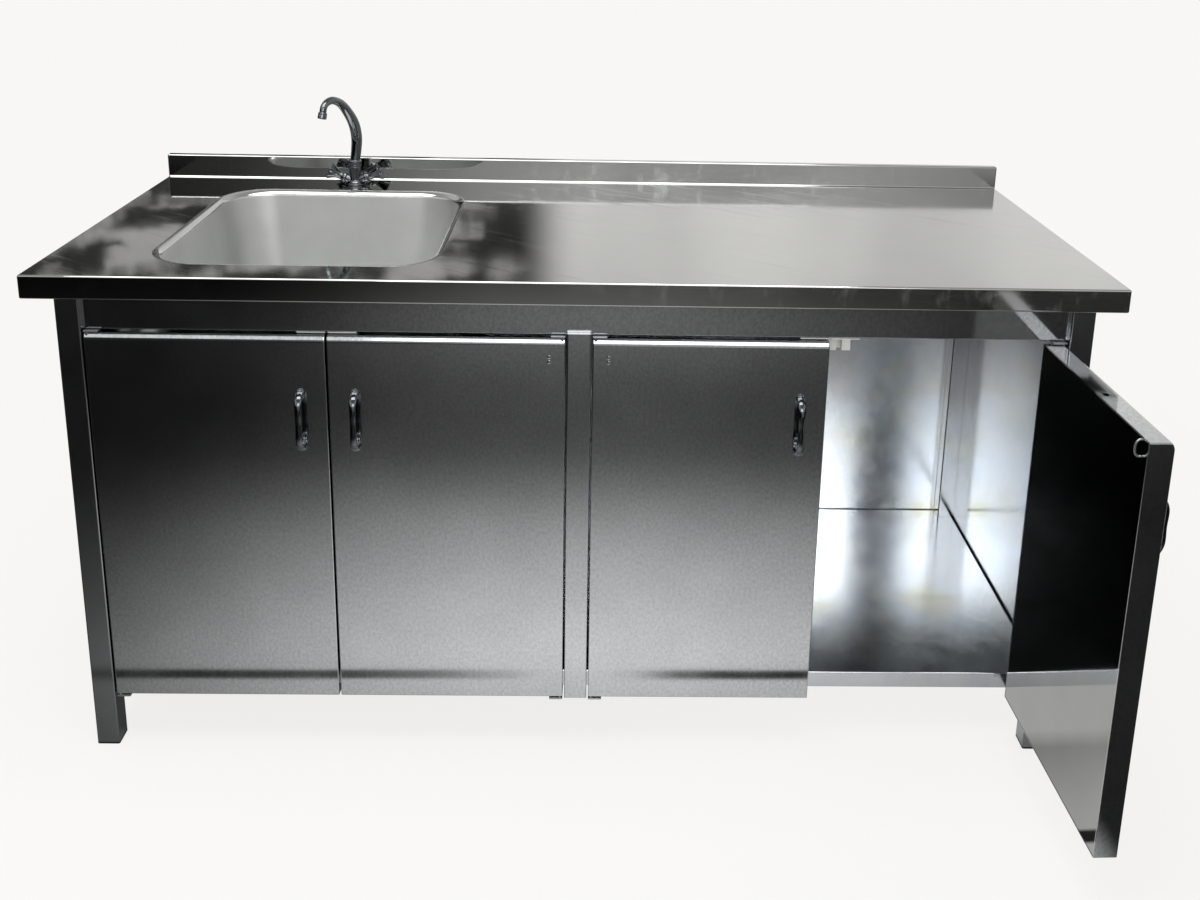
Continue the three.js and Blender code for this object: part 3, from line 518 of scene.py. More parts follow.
class Shader:
    """A node tree that is being filled; each method adds a node and hands back its output."""

    def __init__(self, owner):
        owner.use_nodes = True
        self.tree = owner.node_tree
        self.tree.nodes.clear()

    def add(self, kind, inputs=None, output=0, **settings):
        node = self.tree.nodes.new(f"ShaderNode{kind}")
        for setting, value in settings.items():
            setattr(node, setting, value)
        for socket, value in (inputs or {}).items():
            if isinstance(value, bpy.types.NodeSocket):
                self.tree.links.new(value, node.inputs[socket])
            else:
                node.inputs[socket].default_value = value
        return node.outputs[output] if node.outputs else None

    def noise(self, place, sizes, detail=2.0, roughness=0.5, turn=0.0):
        """Noise whose features are `sizes` millimetres across, along X, Y and Z or all alike."""
        sizes = sizes if isinstance(sizes, tuple) else (sizes,) * 3
        place = self.add("Mapping", {"Vector": place, "Rotation": (0, 0, math.radians(turn))})
        place = self.add("Mapping", {"Vector": place, "Scale": [1 / (size * MM) for size in sizes]})
        settings = {"Vector": place, "Scale": 1.0, "Detail": detail, "Roughness": roughness}
        return self.add("TexNoise", settings)

    def ranged(self, value, low, high, start=0.3, end=0.7, kind="LINEAR"):
        """Runs from low to high while the value runs from start to end."""
        ends = {"From Min": start, "From Max": end, "To Min": low, "To Max": high}
        return self.add("MapRange", {"Value": value, **ends}, interpolation_type=kind)

    def share(self, value, start, end, kind="LINEAR"):
        return self.ranged(value, 0.0, 1.0, start, end, kind)

    def eased(self, value, start, end):
        return self.share(value, start, end, "SMOOTHSTEP")

    def maths(self, operation, *values):
        return self.add("Math", dict(enumerate(values)), operation=operation)

    def mix(self, share, first, second, kind="MIX"):
        pair = {"A": full_colour(first), "B": full_colour(second)}
        return self.add(
            "Mix", {"Factor": share, **pair}, "Result", data_type="RGBA", blend_type=kind,
        )

    def split(self, place, axis):
        return self.add("SeparateXYZ", {"Vector": place}, axis)

    def ramp(self, value, stops, warmth=0.99):
        """A ramp of grey levels from (position, level) pairs, very slightly warm."""
        colours = self.add("ValToRGB", {"Fac": value})
        ramp = colours.node.color_ramp
        ramp.interpolation = "B_SPLINE"
        for index, (position, level) in enumerate(stops):
            stop = ramp.elements[index] if index < 2 else ramp.elements.new(position)
            stop.position = position
            stop.color = (level, level * warmth ** 0.5, level * warmth, 1)
        return colours

    def bump(self, height, depth, under=None):
        """Relief `depth` millimetres deep, over another if one is given."""
        inputs = {"Height": height, "Strength": 1.0, "Distance": depth * MM}
        return self.add("Bump", {**inputs, "Normal": under} if under else inputs)

    def light(self, kind, tint):
        """A background or a surface that gives off an even light."""
        return self.add(kind, {"Color": full_colour(tint), "Strength": 1.0})

    def chosen(self, share, first, second):
        """The second surface where the share is one or the ray is of the named kind."""
        if isinstance(share, str):
            share = self.add("LightPath", output=share)
        return self.add("MixShader", {0: share, 1: first, 2: second})

    def coat(self, tint, roughness, normal, **more):
        inputs = {"Base Color": tint, "Roughness": roughness, "Normal": normal}
        self.add("OutputMaterial", {"Surface": self.add("BsdfPrincipled", {**inputs, **more})})


def new_material(name):
    """A material, its shader, and the place on the piece that its patterns are laid out by."""
    material = bpy.data.materials.new(name)
    shader = Shader(material)
    return material, shader, shader.add("TexCoord", output="Object")


def steel(
    name, base, smooth, rough, grain, grain_depth, wave, wave_depth, cloud, wiped=0.0, speckle=0.0,
    rim=None, dulled_side=None,
):
    """A stainless finish: a fine grain, slow clouds of duller metal, and a slightly wavy sheet.

    `smooth` and `rough` are the least and greatest roughness, `grain` the grain's size along each
    axis, `wave` the width of the sheet's waves and `cloud` of its clouds, all in millimetres.
    `wiped` is how much roughness the arcs left by a cloth add, `speckle` how much darker the
    small dull specks are, and `rim` the heights, in metres, between which the metal turns bright.
    `dulled_side` gives the places along X, in metres, between which use has rubbed it duller.
    """
    material, shader, place = new_material(name)
    fine = shader.noise(place, grain, 3.0, 0.6)
    clouds = shader.noise(place, cloud, 3.0, 0.55)
    waves = shader.noise(place, wave, 1.0, 0.4)
    mixed = shader.maths("ADD", shader.ranged(fine, 0.0, 0.45), shader.ranged(clouds, 0.0, 0.55))
    roughness = shader.ranged(mixed, smooth, rough, 0.0, 1.0)
    if wiped:
        arcs = shader.noise(place, (260, 16, 60), 2.0, 0.6, 35.0)
        roughness = shader.maths("ADD", roughness, shader.ranged(arcs, 0.0, wiped, 0.56, 0.74))
    tint = shader.mix(shader.ranged(clouds, 0.0, 1.0), [c * 0.92 for c in base], base)
    if speckle:
        specks = shader.noise(place, (5, 5, 7), 4.0, 0.75)
        specks = shader.ranged(specks, 1.0, 0.0, 0.34, 0.62)
        tint = shader.mix(specks, tint, 1 - speckle, "MULTIPLY")
    for axis, ends, levels in (("X", dulled_side, (0.3, 1.0)), ("Z", rim, (1.0, 0.16))):
        if ends:
            along = shader.split(place, axis)
            dulled = shader.ranged(along, *levels, *ends, "SMOOTHSTEP")
            roughness = shader.maths("MULTIPLY", roughness, dulled)
    relief = shader.bump(fine, grain_depth, shader.bump(waves, wave_depth))
    shader.coat(tint, roughness, relief, Metallic=1.0)
    return material


def mill_steel(name, base, painted_glint):
    """Unpolished sheet: pale and softly mottled in patches, with warm yellow patches of painted
    reflection laid at random.
    """
    material, shader, place = new_material(name)
    mottle = shader.noise(place, (60, 60, 90), 3.0, 0.6)
    patches = shader.noise(place, (210, 210, 150), 2.0, 0.5)
    fine = shader.noise(place, (1.6, 1.6, 9), 2.0, 0.6)
    waves = shader.noise(place, 160, 1.0, 0.4)
    blue = [channel * share for channel, share in zip(base, (0.90, 0.925, 0.955))]
    body = shader.mix(shader.share(mottle, 0.28, 0.58), blue, base)
    # Painted reflection: warm yellow patches at random places, standing in for yellow glints.
    warm = shader.ranged(patches, 0.0, 0.45, 0.58, 0.80, "SMOOTHSTEP")
    rough = (shader.ranged(mottle, 0.11, 0.17), shader.ranged(patches, 0.0, 0.05))
    relief = shader.bump(fine, 0.006, shader.bump(waves, 0.25))
    shader.coat(shader.mix(warm, body, painted_glint), shader.maths("ADD", *rough), relief, Metallic=1.0)
    return material


def plastic(name, base, roughness, grain, depth):
    """A moulded plastic: an even colour with a fine eroded grain."""
    material, shader, place = new_material(name)
    fine = shader.noise(place, grain, 2.0, 0.6)
    tone = shader.ranged(shader.noise(place, 25), 0.0, 1.0)
    tint = shader.mix(tone, [c * 0.9 for c in base], base)
    rough = shader.ranged(fine, roughness, roughness + 0.12)
    shader.coat(tint, rough, shader.bump(fine, depth), IOR=1.46)
    return material


_finishes = {}


def finish_material(name):
    """Makes each finish once and hands it out by its short name."""
    if not _finishes:
        _finishes.update(make_finishes(bpy.context.scene.sink_unit_colours))
    return _finishes[name]


def make_finishes(colours):
    return {
        # Cold rolled stainless sheet, polished bright: a clear, faintly wavy mirror, wiped duller
        # in arcs and broad clouds on the drainer side, with a grain along the worktop.
        "mirror": steel(
            "Polished_stainless_sheet", colours.mirror_steel, 0.05, 0.15,
            (30, 1.2, 1.2), 0.004, 190, 0.45, 320, wiped=0.10, dulled_side=(-0.35, 0.15),
        ),
        # Stainless sheet polished on a fine belt: a soft-edged reflection with an upright grain.
        "satin": steel(
            "Belt_polished_stainless_sheet", colours.satin_steel, 0.05, 0.11,
            (1.4, 1.4, 30), 0.006, 240, 0.30, 120, speckle=0.22,
        ),
        # The doors' inner sheet, bright as it left the rolls: a nearly clear mirror.
        "liner": steel(
            "Bright_annealed_stainless_sheet", colours.mirror_steel, 0.04, 0.09,
            (1.4, 1.4, 30), 0.003, 260, 0.35, 140,
        ),
        # Deep drawn stainless, etched matt by the press: an even, pale glow, with the worktop's
        # polish running over the rolled rim.
        "bowl": steel(
            "Matt_pressed_stainless", colours.bowl_steel, 0.42, 0.50,
            2.0, 0.02, 150, 0.2, 90, rim=(0.888, 0.895),
        ),
        # Sheet as it left the mill, never polished: bright, mottled and slightly blue, with warm patches
        # of painted reflection.
        "inner": mill_steel("Mill_finish_stainless_sheet", colours.inner_steel, colours.painted_glint_tint),
        # Welded square tube, polished along its length.
        "tube": steel(
            "Polished_stainless_tube", colours.tube_steel, 0.10, 0.18,
            (1.2, 1.2, 40), 0.006, 180, 0.12, 80,
        ),
        # Nickel and chrome plate on brass: a hard, nearly perfect mirror, its colour darkened below real
        # chrome as painted shade of the dark room it reflects.
        "chrome": steel(
            "Chrome_plated_brass", colours.chrome, 0.03, 0.07, 6, 0.001, 40, 0.01, 30,
        ),
        # Bright zinc plate: a dull, blotchy grey shine.
        "zinc": steel(
            "Bright_zinc_plated_steel", colours.zinc, 0.28, 0.46, 1.0, 0.01, 20, 0.02, 12,
        ),
        # Injection moulded polypropylene with an eroded grain.
        "black": plastic("Black_moulded_polypropylene", colours.black_plastic, 0.42, 0.8, 0.02),
        # Injection moulded polypropylene, smooth and faintly waxy.
        "white": plastic("White_moulded_polypropylene", colours.white_plastic, 0.30, 1.5, 0.01),
    }


# Worktop -----------------------------------------------------------------------------------


def worktop_skin(sizes):
    """The outer face of the folded worktop: top, lips, their returns and the upstand."""
    low, high = WORKTOP_LOW, WORKTOP_HIGH
    upstand = high.y - sizes.upstand_depth
    mesh = bmesh.new()
    block(mesh, low, (high.x, high.y, high.z - sizes.upstand_height))
    slit(mesh, (0, upstand, 0), (0, 1, 0))
    mesh.normal_update()
    behind = [f for f in mesh.faces if f.normal.z > FACING and f.calc_center_median().y > upstand]
    raised = new_verts(bmesh.ops.extrude_face_region(mesh, geom=behind)["geom"])
    bmesh.ops.translate(mesh, verts=raised, vec=(0, 0, sizes.upstand_height))
    bmesh.ops.delete(mesh, geom=behind, context="FACES")
    drop_faces_towards(mesh, (0, 0, -1))
    drop_flat_edges(mesh)
    rim = [e for e in mesh.edges if lies_at(e, 2, low.z) and not lies_at(e, 1, high.y)]
    inner, _ = extrude_edges(mesh, rim)
    for vert in inner:
        if abs(vert.co.y - low.y) < SAME_PLACE:
            vert.co.y += sizes.lip_return
        vert.co.x -= math.copysign(sizes.lip_return, vert.co.x)
    bmesh.ops.recalc_face_normals(mesh, faces=mesh.faces)
    round_edges(mesh, folds(mesh), sizes.worktop_fold)
    return mesh


class SINKUNIT_OT_worktop(bpy.types.Operator):
    """Folds the worktop with its lips and upstand, and cuts the holes for the bowl and the tap"""

    bl_idname = "sinkunit.worktop"
    bl_label = "Worktop"

    def execute(self, context):
        sizes = context.scene.sink_unit_sizes
        piece = as_object("folded_worktop", worktop_skin(sizes))
        thicken(piece, sizes.sheet)
        near, far = BOWL_CENTRE - BOWL_HALF, BOWL_CENTRE + BOWL_HALF
        near.z, far.z = WORKTOP_LOW.z, WORKTOP_HIGH.z
        bowl_hole = rounded_block(near, far, sizes.bowl_corner, 16)
        cut_away(piece, bowl_hole, rod(TAP_FOOT, sizes.tap_hole, 0.1, 48))
        finish(piece, "worktop", "mirror", edge=sizes.edge_break, angle=30)

        low, high = node_box("worktop_stiffener")
        left, right = low.y + sizes.channel_brim, high.y - sizes.channel_brim
        top = high.z - sizes.sheet
        section = [(low.y, top), (left, top), (left, low.z), (right, low.z), (right, top), (high.y, top)]
        piece = folded("worktop_channel", section, 0, low, high, sizes)
        finish(piece, "worktop_stiffener", "inner", edge=sizes.edge_break, angle=30)
        return {"FINISHED"}


# Bowl and waste ----------------------------------------------------------------------------


def bowl_stations(sizes, floor, rim):
    """(inset, height) from the rim down to the floor: rolled rim, leaning wall, floor curve."""
    roll, radius, taper = sizes.rim_roll, sizes.bowl_floor_radius, sizes.bowl_taper
    quarters = [(math.sin(a), 1 - math.cos(a)) for a in (step / 20 * math.pi for step in range(11))]
    rolled = [(roll * sine, rim - roll * rise) for sine, rise in quarters]
    curved = [(taper + radius * rise, floor + radius * (1 - sine)) for sine, rise in quarters]
    return rolled + curved


def bowl_skin(sizes):
    """The bowl's inner face, drawn down from its rim by repeated extrusion."""
    half = BOWL_HALF - Vector((BOWL_RIM_GAP, BOWL_RIM_GAP, 0))
    mesh = bmesh.new()
    corners = [(-half.x, -half.y), (half.x, -half.y), (half.x, half.y), (-half.x, half.y)]
    face = mesh.faces.new([mesh.verts.new((x, y, WORKTOP_TOP)) for x, y in corners])
    bmesh.ops.bevel(
        mesh, geom=list(face.verts), offset=sizes.bowl_corner, offset_type="OFFSET",
        segments=16, profile=0.5, affect="VERTICES", material=-1,
    )
    bmesh.ops.delete(mesh, geom=mesh.faces[:], context="FACES_ONLY")
    corner_step = 50 * MM
    straight = [edge for edge in mesh.edges if edge.calc_length() > corner_step]
    bmesh.ops.subdivide_edges(mesh, edges=straight, cuts=11)
    rim = mesh.edges[:]
    now_inset, now_height = 0.0, WORKTOP_TOP
    for inset, height in bowl_stations(sizes, BOWL_LOW.z + sizes.sheet, WORKTOP_TOP)[1:]:
        verts, rim = extrude_edges(mesh, rim, (0, 0, height - now_height))
        squeeze = ((half.x - inset) / (half.x - now_inset), (half.y - inset) / (half.y - now_inset), 1)
        bmesh.ops.scale(mesh, vec=squeeze, verts=verts)
        now_inset, now_height = inset, height
    for vert in extrude_edges(mesh, rim)[0]:
        vert.co.xy = vert.co.xy.normalized() * sizes.waste_hole
    move(mesh, UNDER_BOWL)
    bmesh.ops.recalc_face_normals(mesh, faces=mesh.faces)
    if sum(face.normal.z for face in mesh.faces) < 0:
        bmesh.ops.reverse_faces(mesh, faces=mesh.faces)
    return mesh


class SINKUNIT_OT_bowl(bpy.types.Operator):
    """Draws the pressed bowl down from its rolled rim"""

    bl_idname = "sinkunit.bowl"
    bl_label = "Bowl"

    def execute(self, context):
        sizes = context.scene.sink_unit_sizes
        piece = as_object("pressed_bowl", bowl_skin(sizes))
        thicken(piece, sizes.sheet)
        finish(piece, "sink_bowl", "bowl", edge=0.2 * MM, angle=60)
        return {"FINISHED"}


def waste_piece(sizes):
    """The dished waste with its pierced grid, and the stem under it; heights from the floor."""
    hole = sizes.waste_hole / MM
    throat, brim = hole - 4, hole + 12
    dish = [
        (0, -14), (throat - 3, -14), (throat, -11), (throat, 0.3), (brim, 0.3), (brim, 0.9),
        (brim - 1, 1.5), (brim - 3, 1.8), (hole + 4, 1.5), (throat + 1, 0.6), (throat - 1, -0.3),
        (throat - 2.6, -3), (throat - 4, -9), (throat - 6, -11.6), (throat - 9, -12), (0, -12),
    ]
    piece = as_object("pierced_waste", turned(dish, 64))
    spread, bore, count, depth, through = 20 * MM, 5.5 * MM, 8, -13 * MM, 12 * MM
    angles = [index / count * math.tau for index in range(count)]
    places = [(spread * math.cos(angle), spread * math.sin(angle), depth) for angle in angles]
    cut_away(piece, *(rod(place, bore, through, 24) for place in [(0, 0, depth), *places]))
    mesh = opened(piece.data)
    add_mesh(mesh, ring(throat - 14, throat - 12, -40, -13.4))
    store(move(mesh, UNDER_BOWL + Vector((0, 0, BOWL_LOW.z + sizes.sheet))), piece.data)
    return piece


def from_bowl(node):
    """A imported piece's lowest and highest corner from the bowl's centre line, in millimetres."""
    return [(corner - UNDER_BOWL) / MM for corner in node_box(node)]


class SINKUNIT_OT_waste(bpy.types.Operator):
    """Turns the pierced waste, its backnut and the bottle trap under the bowl"""

    bl_idname = "sinkunit.waste"
    bl_label = "Waste and trap"

    def execute(self, context):
        sizes = context.scene.sink_unit_sizes
        finish(waste_piece(sizes), "waste_flange", "chrome", edge=0.25 * MM, angle=30)

        low, high = from_bowl("waste_backnut")
        nut = ring(sizes.waste_hole / MM - 3.7, high.x, low.z, high.z, 1.5, 144)
        grip_ribs(nut, 18, 2.5, high.x - 4)
        fit("ribbed_backnut", move(nut, UNDER_BOWL), "waste_backnut", "black")

        low, high = from_bowl("trap_inlet")
        bore, pipe, cup = 18, 20, 34
        profile = [
            (bore, low.z), (pipe, low.z), (pipe, high.z - 34), (cup - 4, high.z - 27),
            (cup, high.z - 24), (cup, high.z - 1), (cup - 1, high.z), (cup - 5, high.z),
            (cup - 5, high.z - 22), (bore, high.z - 28), (bore, low.z),
        ]
        inlet = turned(profile, 144)
        grip_ribs(inlet, 24, 1.4, cup - 3, high.z - 25)
        fit("union_cup", move(inlet, UNDER_BOWL), "trap_inlet", "white")

        low, high = from_bowl("trap_bottle")
        outlet = high.z - 21.7
        profile = [
            (0, low.z), (21, low.z), (26, low.z + 1.5), (30, low.z + 6), (30, high.z - 43),
            (30.6, high.z - 41), (32, high.z - 39.7), (32, high.z - 1.5), (30.5, high.z),
            (bore, high.z), (bore, high.z - 4), (26, high.z - 4), (26, low.z + 4), (0, low.z + 4),
        ]
        bottle = turned(profile, 144)
        grip_ribs(bottle, 24, 1.2, 29, low.z + 5, high.z - 42)
        backwards = Matrix.Translation((0, 0, outlet * MM)) @ turn(-90, "X")
        add_mesh(bottle, ring(15, bore, 28, 44), backwards)
        fit("trap_body", move(bottle, UNDER_BOWL), "trap_bottle", "white")

        near, far = (corner.y for corner in from_bowl("trap_outlet"))
        nut = ring(pipe - 1, pipe + 6, near, near + 22, 1.5, 144)
        grip_ribs(nut, 24, 1.4, pipe + 4)
        add_mesh(nut, ring(bore, pipe, near, far))
        move(nut, Matrix.Translation(UNDER_BOWL) @ backwards)
        fit("outlet_pipe", nut, "trap_outlet", "white")
        return {"FINISHED"}


# Tap ---------------------------------------------------------------------------------------

# The turned profiles are drawn in millimetres, so lengths that belong to them have no MM here.
ARM_LENGTH = 22
COLUMN_TOP = 40
ARM_TILT = 24.0
ARM_ROOT = 5 * MM
SPOUT_REACH = 109 * MM
SPOUT_RISE = 142 * MM
SPOUT_TURN = 22.0
SPOUT_STEPS = 72
SPOUT_SHAPE = (
    (0, 0), (-0.06, 0.16), (-0.09, 0.36), (-0.02, 0.56), (0.17, 0.76),
    (0.43, 0.93), (0.7, 1), (0.88, 0.98), (0.97, 0.93), (1, 0.87),
)


def along_arm(side):
    """Puts a piece that was made upright onto the left or right arm."""
    return Matrix.Translation(TAP_FOOT + Vector((0, 0, ARM_ROOT))) @ turn(side * (90 - ARM_TILT), "Y")


def tap_body():
    """The cast column with its threaded shank below and its two sloping arms."""
    threads = [(14.3 + 0.7 * (step % 2), -47.5 + step) for step in range(46)]
    column = [
        (0, -48), (14, -48), *threads, (15, 0.3), (20.4, 0.3), (21, 0.9), (21, 2.2), (20.4, 3),
        (18.4, 4), (16, 5.4), (14.2, 7.4), (13, 10), (12.5, 13), (12.5, 36.6), (12.2, 38.2),
        (11.4, 39.4), (10.2, COLUMN_TOP), (0, COLUMN_TOP),
    ]
    mesh = move(turned(column, 64), TAP_FOOT)
    for side, _ in SIDES:
        arm = [(0, 0), (9.5, 0), (9.5, 20.6), (9.2, 21.5), (8.4, ARM_LENGTH), (0, ARM_LENGTH)]
        add_mesh(mesh, turned(arm), along_arm(side))
    return mesh


def tap_knob():
    """A flared knob with soft lobes, widest at its hollow outer end, behind a round collar."""
    shape = [(8, 9), (8.3, 12.5), (9, 17), (10.5, 21.5), (12.5, 26), (15, 31), (17, 35)]
    flare = smooth_path([(radius, 0, height) for radius, height in shape], 18)
    profile = [
        (0, 0), (10.9, 0), (11.5, 0.6), (11.5, 4.2), (11, 5), (9.2, 7),
        *((point.x, point.z) for point in flare), (17, 36), (16.4, 36.8), (15.6, 37), (14.6, 36.4),
        (13, 35), (10, 33.2), (6, 32.1), (0, 32),
    ]
    mesh = turned(profile, 96)
    foot, length_of_lobes, swell = 9, 37, 0.11

    def lobe(radius, height, wave):
        return 1 + swell * min(max((height - foot) / length_of_lobes, 0.0), 1.0) * wave

    waved(mesh, 6, lobe)
    return move(mesh, Vector((0, 0, (ARM_LENGTH + 0.3) * MM)))


def spout_path():
    """The swan neck: it leans back over the column, swings over and comes down at the outlet."""
    angle = math.radians(SPOUT_TURN)
    ahead = Vector((-math.sin(angle), -math.cos(angle), 0))
    foot = TAP_FOOT + Vector((0, 0, (COLUMN_TOP + 8) * MM))
    up = Vector((0, 0, 1))
    points = [foot + ahead * (out * SPOUT_REACH) + up * (rise * SPOUT_RISE) for out, rise in SPOUT_SHAPE]
    return smooth_path(points, SPOUT_STEPS), ahead.cross(up)


def spout_radius(share):
    """Full at the foot, fuller in the belly, and drawn down to the outlet."""
    eased = min(max((share - 0.3) / 0.55, 0), 1)
    eased = eased * eased * (3 - 2 * eased)
    return (10 - 3 * eased + 1.6 * math.sin(math.pi * min(1, share / 0.6))) * MM


class SINKUNIT_OT_tap(bpy.types.Operator):
    """Turns the mixer tap's body, knobs and outlet, and bends its swan neck"""

    bl_idname = "sinkunit.tap"
    bl_label = "Mixer tap"

    def execute(self, context):
        fit("tap_column", tap_body(), "tap_body", "chrome")
        for (side, hand), body in zip(SIDES, ("hot_knob", "cold_knob")):
            knob = move(tap_knob(), along_arm(side))
            fit(f"knob_{hand}", knob, f"tap_handle_{hand}", "chrome", body)

        path, flat = spout_path()
        radii = [spout_radius(step / SPOUT_STEPS) for step in range(SPOUT_STEPS + 1)]
        neck = swept(path, radii, flat, sides=40)
        nut = [
            (0, 40.3), (13.4, 40.3), (14, 40.9), (14, 43), (13.6, 43.4), (13.6, 44), (14, 44.4),
            (14, 49.4), (13.4, 50.6), (12.6, 52.6), (11.6, 54), (0, 54),
        ]
        add_mesh(neck, turned(nut, 64), Matrix.Translation(TAP_FOOT))
        fit("swan_neck", neck, "tap_spout", "chrome", "spout")

        outlet = [
            (0, 0), (7, 0), (7.4, 0.8), (8.6, 2.6), (9, 3.2), (9, 6), (8.7, 6.3), (8.7, 6.9),
            (9, 7.2), (9, 13.4), (8.6, 14), (7.9, 14), (7.5, 13.4), (7.3, 12), (6, 11.6),
            (5.6, 12), (5, 11.6), (4.2, 12), (3.4, 11.6), (2.6, 12), (1.4, 11.6), (0, 12),
        ]
        down = (path[-1] - path[-2]).normalized()
        place = Matrix.Translation(path[-1] + down * (0.3 * MM))
        place @= Vector((0, 0, 1)).rotation_difference(down).to_matrix().to_4x4()
        fit("outlet_collar", move(turned(outlet, 56), place), "tap_aerator", "chrome", "spout")

        low, high = (corner / MM for corner in node_box("tap_backnut"))
        nut = ring(15.3, (high.x - low.x) / 2, low.z, high.z, 1.2, 96)
        grip_ribs(nut, 8, 2.5, 20)
        move(nut, Vector((TAP_FOOT.x, TAP_FOOT.y, 0)))
        fit("shank_nut", nut, "tap_backnut", "zinc", edge=0.3 * MM)

        nut_height = 14
        for _, hand in SIDES:
            low, high = node_box(f"tap_inlet_{hand}")
            middle = (low + high) / 2
            middle.z = high.z - nut_height / 2 * MM
            tail = rod(middle, 6.5 * MM, nut_height * MM, 6)
            round_edges(tail, folds(tail), 0.5 * MM, 2)
            end, inside = low.z / MM, high.z / MM - nut_height / 2
            pipe = [(0, end), (4.4, end), (5, end + 0.6), (5, inside), (0, inside)]
            add_mesh(tail, turned(pipe, 32), Matrix.Translation((middle.x, middle.y, 0)))
            fit(f"supply_tail_{hand}", tail, f"tap_inlet_{hand}", "chrome")
        return {"FINISHED"}


# Frame and panels --------------------------------------------------------------------------


def square_tube(low, high, corner):
    """The outer skin of an upright square tube, open at both ends."""
    mesh = bmesh.new()
    block(mesh, low, high)
    drop_faces_towards(mesh, (0, 0, 1), (0, 0, -1))
    round_edges(mesh, folds(mesh), corner)
    return mesh


def foot_piece(low, high, sizes):
    """A moulded foot: a pad under the tube and a ribbed plug inside it."""
    pad_top = low.z + 3.7 * MM
    inset = sizes.sheet + 0.3 * MM
    mesh = rounded_block(low, (high.x, high.y, pad_top), sizes.tube_corner, rim=0.6 * MM)
    plug = rounded_block(
        (low.x + inset, low.y + inset, pad_top - 0.5 * MM), (high.x - inset, high.y - inset, high.z),
        sizes.tube_corner - sizes.sheet, rim=1 * MM,
    )
    add_mesh(mesh, plug)
    return mesh


def centre_post(sizes):
    """The post between the two pairs of doors: a folded channel that laps onto the apron."""
    low, high = node_box("mullion")
    top = node_box("catch_2")[1].z
    piece = boxed("centre_post", "mullion", 2, ((0, 1), (0, 0), (1, 0), (1, 1)), sizes)
    clear = bmesh.new()
    block(clear, (low.x - 0.01, APRON_FRONT, top), (high.x + 0.01, high.y + 0.01, high.z + 0.01))
    cut_away(piece, clear)
    mesh = opened(piece.data)
    sheet, inside, apron = sizes.sheet, high.x - sizes.sheet, APRON_FRONT
    lids = (
        (low.y + sheet, high.z - sheet, apron, high.z), (apron, top - sheet, high.y, top),
        (apron - sheet, top - sheet, apron, high.z - sheet),
    )
    for front, under, back, over in lids:
        block(mesh, (-inside, front, under), (inside, back, over))
    store(mesh, piece.data)
    return piece


class SINKUNIT_OT_frame(bpy.types.Operator):
    """Makes the four tube legs with their feet, the centre post and the apron"""

    bl_idname = "sinkunit.frame"
    bl_label = "Frame"

    def execute(self, context):
        sizes = context.scene.sink_unit_sizes
        for corner in ("front_left", "front_right", "rear_left", "rear_right"):
            node = f"leg_{corner}"
            piece = as_object(f"{node}_tube", square_tube(*node_box(node), sizes.tube_corner))
            thicken(piece, sizes.sheet)
            finish(piece, node, "tube", edge=sizes.edge_break)
            node = f"foot_{corner}"
            fit(f"{node}_pad", foot_piece(*node_box(node), sizes), node, "black")
        finish(centre_post(sizes), "mullion", "satin", edge=sizes.edge_break)

        piece = boxed("folded_apron", "front_apron", 0, ((1, 0), (0, 0), (0, 1)), sizes)
        finish(piece, "front_apron", "satin", edge=sizes.edge_break)
        return {"FINISHED"}


def shelf_skin(low, high, sizes):
    """The outer face of the base shelf: a tray turned over, notched round the four legs."""
    back = high.y - sizes.shelf_gap
    leg_low, leg_high = node_box("leg_front_right")
    notch = 0.5 * MM
    reach, side = leg_low.x - notch, high.x - sizes.shelf_gap
    near, far = leg_high.y + notch, node_box("leg_rear_right")[0].y - notch
    half = [(reach, low.y), (reach, near), (side, near), (side, far), (reach, far), (reach, back)]
    outline = half + [(-x, y) for x, y in reversed(half)]
    mesh = bmesh.new()
    mesh.faces.new([mesh.verts.new((x, y, high.z)) for x, y in outline])
    front, rear = ([e for e in mesh.edges if lies_at(e, 1, y)] for y in (low.y, back))
    down = (0, 0, low.z - high.z)
    _, rim = extrude_edges(mesh, front, down)
    extrude_edges(mesh, [e for e in rim if lies_at(e, 2, low.z)], (0, sizes.flange, 0))
    ends = [e for e in mesh.edges if lies_at(e, 0, side) or lies_at(e, 0, -side)]
    extrude_edges(mesh, rear + ends, down)
    return mesh


# Name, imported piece, the axis it runs along, and its section's corners
PANELS = (
    ("shelf_channel", "shelf_stiffener", 1, ((0, 0), (0, 1), (1, 1), (1, 0))),
    ("side_panel_left_sheet", "side_panel_left", 1, ((1, 0), (0, 0), (0, 1), (1, 1))),
    ("side_panel_right_sheet", "side_panel_right", 1, ((0, 0), (1, 0), (1, 1), (0, 1))),
    ("back_panel_sheet", "back_panel", 0, ((1, 0), (1, 1), (0, 1))),
)


class SINKUNIT_OT_panels(bpy.types.Operator):
    """Folds the base shelf, the side and back panels and the shelf's stiffener"""

    bl_idname = "sinkunit.panels"
    bl_label = "Panels and shelf"

    def execute(self, context):
        sizes = context.scene.sink_unit_sizes
        low, high = node_box("base_shelf")
        skin, behind = shelf_skin(low, high, sizes), (0, 0, (low.z + high.z) / 2)
        piece = sheet_piece("folded_shelf", skin, behind, sizes.panel_fold, sizes.sheet)
        finish(piece, "base_shelf", "inner", edge=sizes.edge_break)

        for name, node, axis, corners in PANELS:
            piece = boxed(name, node, axis, corners, sizes)
            finish(piece, node, "inner", edge=sizes.edge_break)
        return {"FINISHED"}


# Doors -------------------------------------------------------------------------------------

# A door is drawn from its pivot, shut; `way` is the side that its free edge lies on.
FIRST_PIVOT = Vector((*joint("door_1_hinge")["pos_m"][:2], 0))
LEAF_LOW, LEAF_HIGH = (corner - FIRST_PIVOT for corner in node_box("door_1_pan"))


def leaf_way(number):
    return 1 if number % 2 else -1


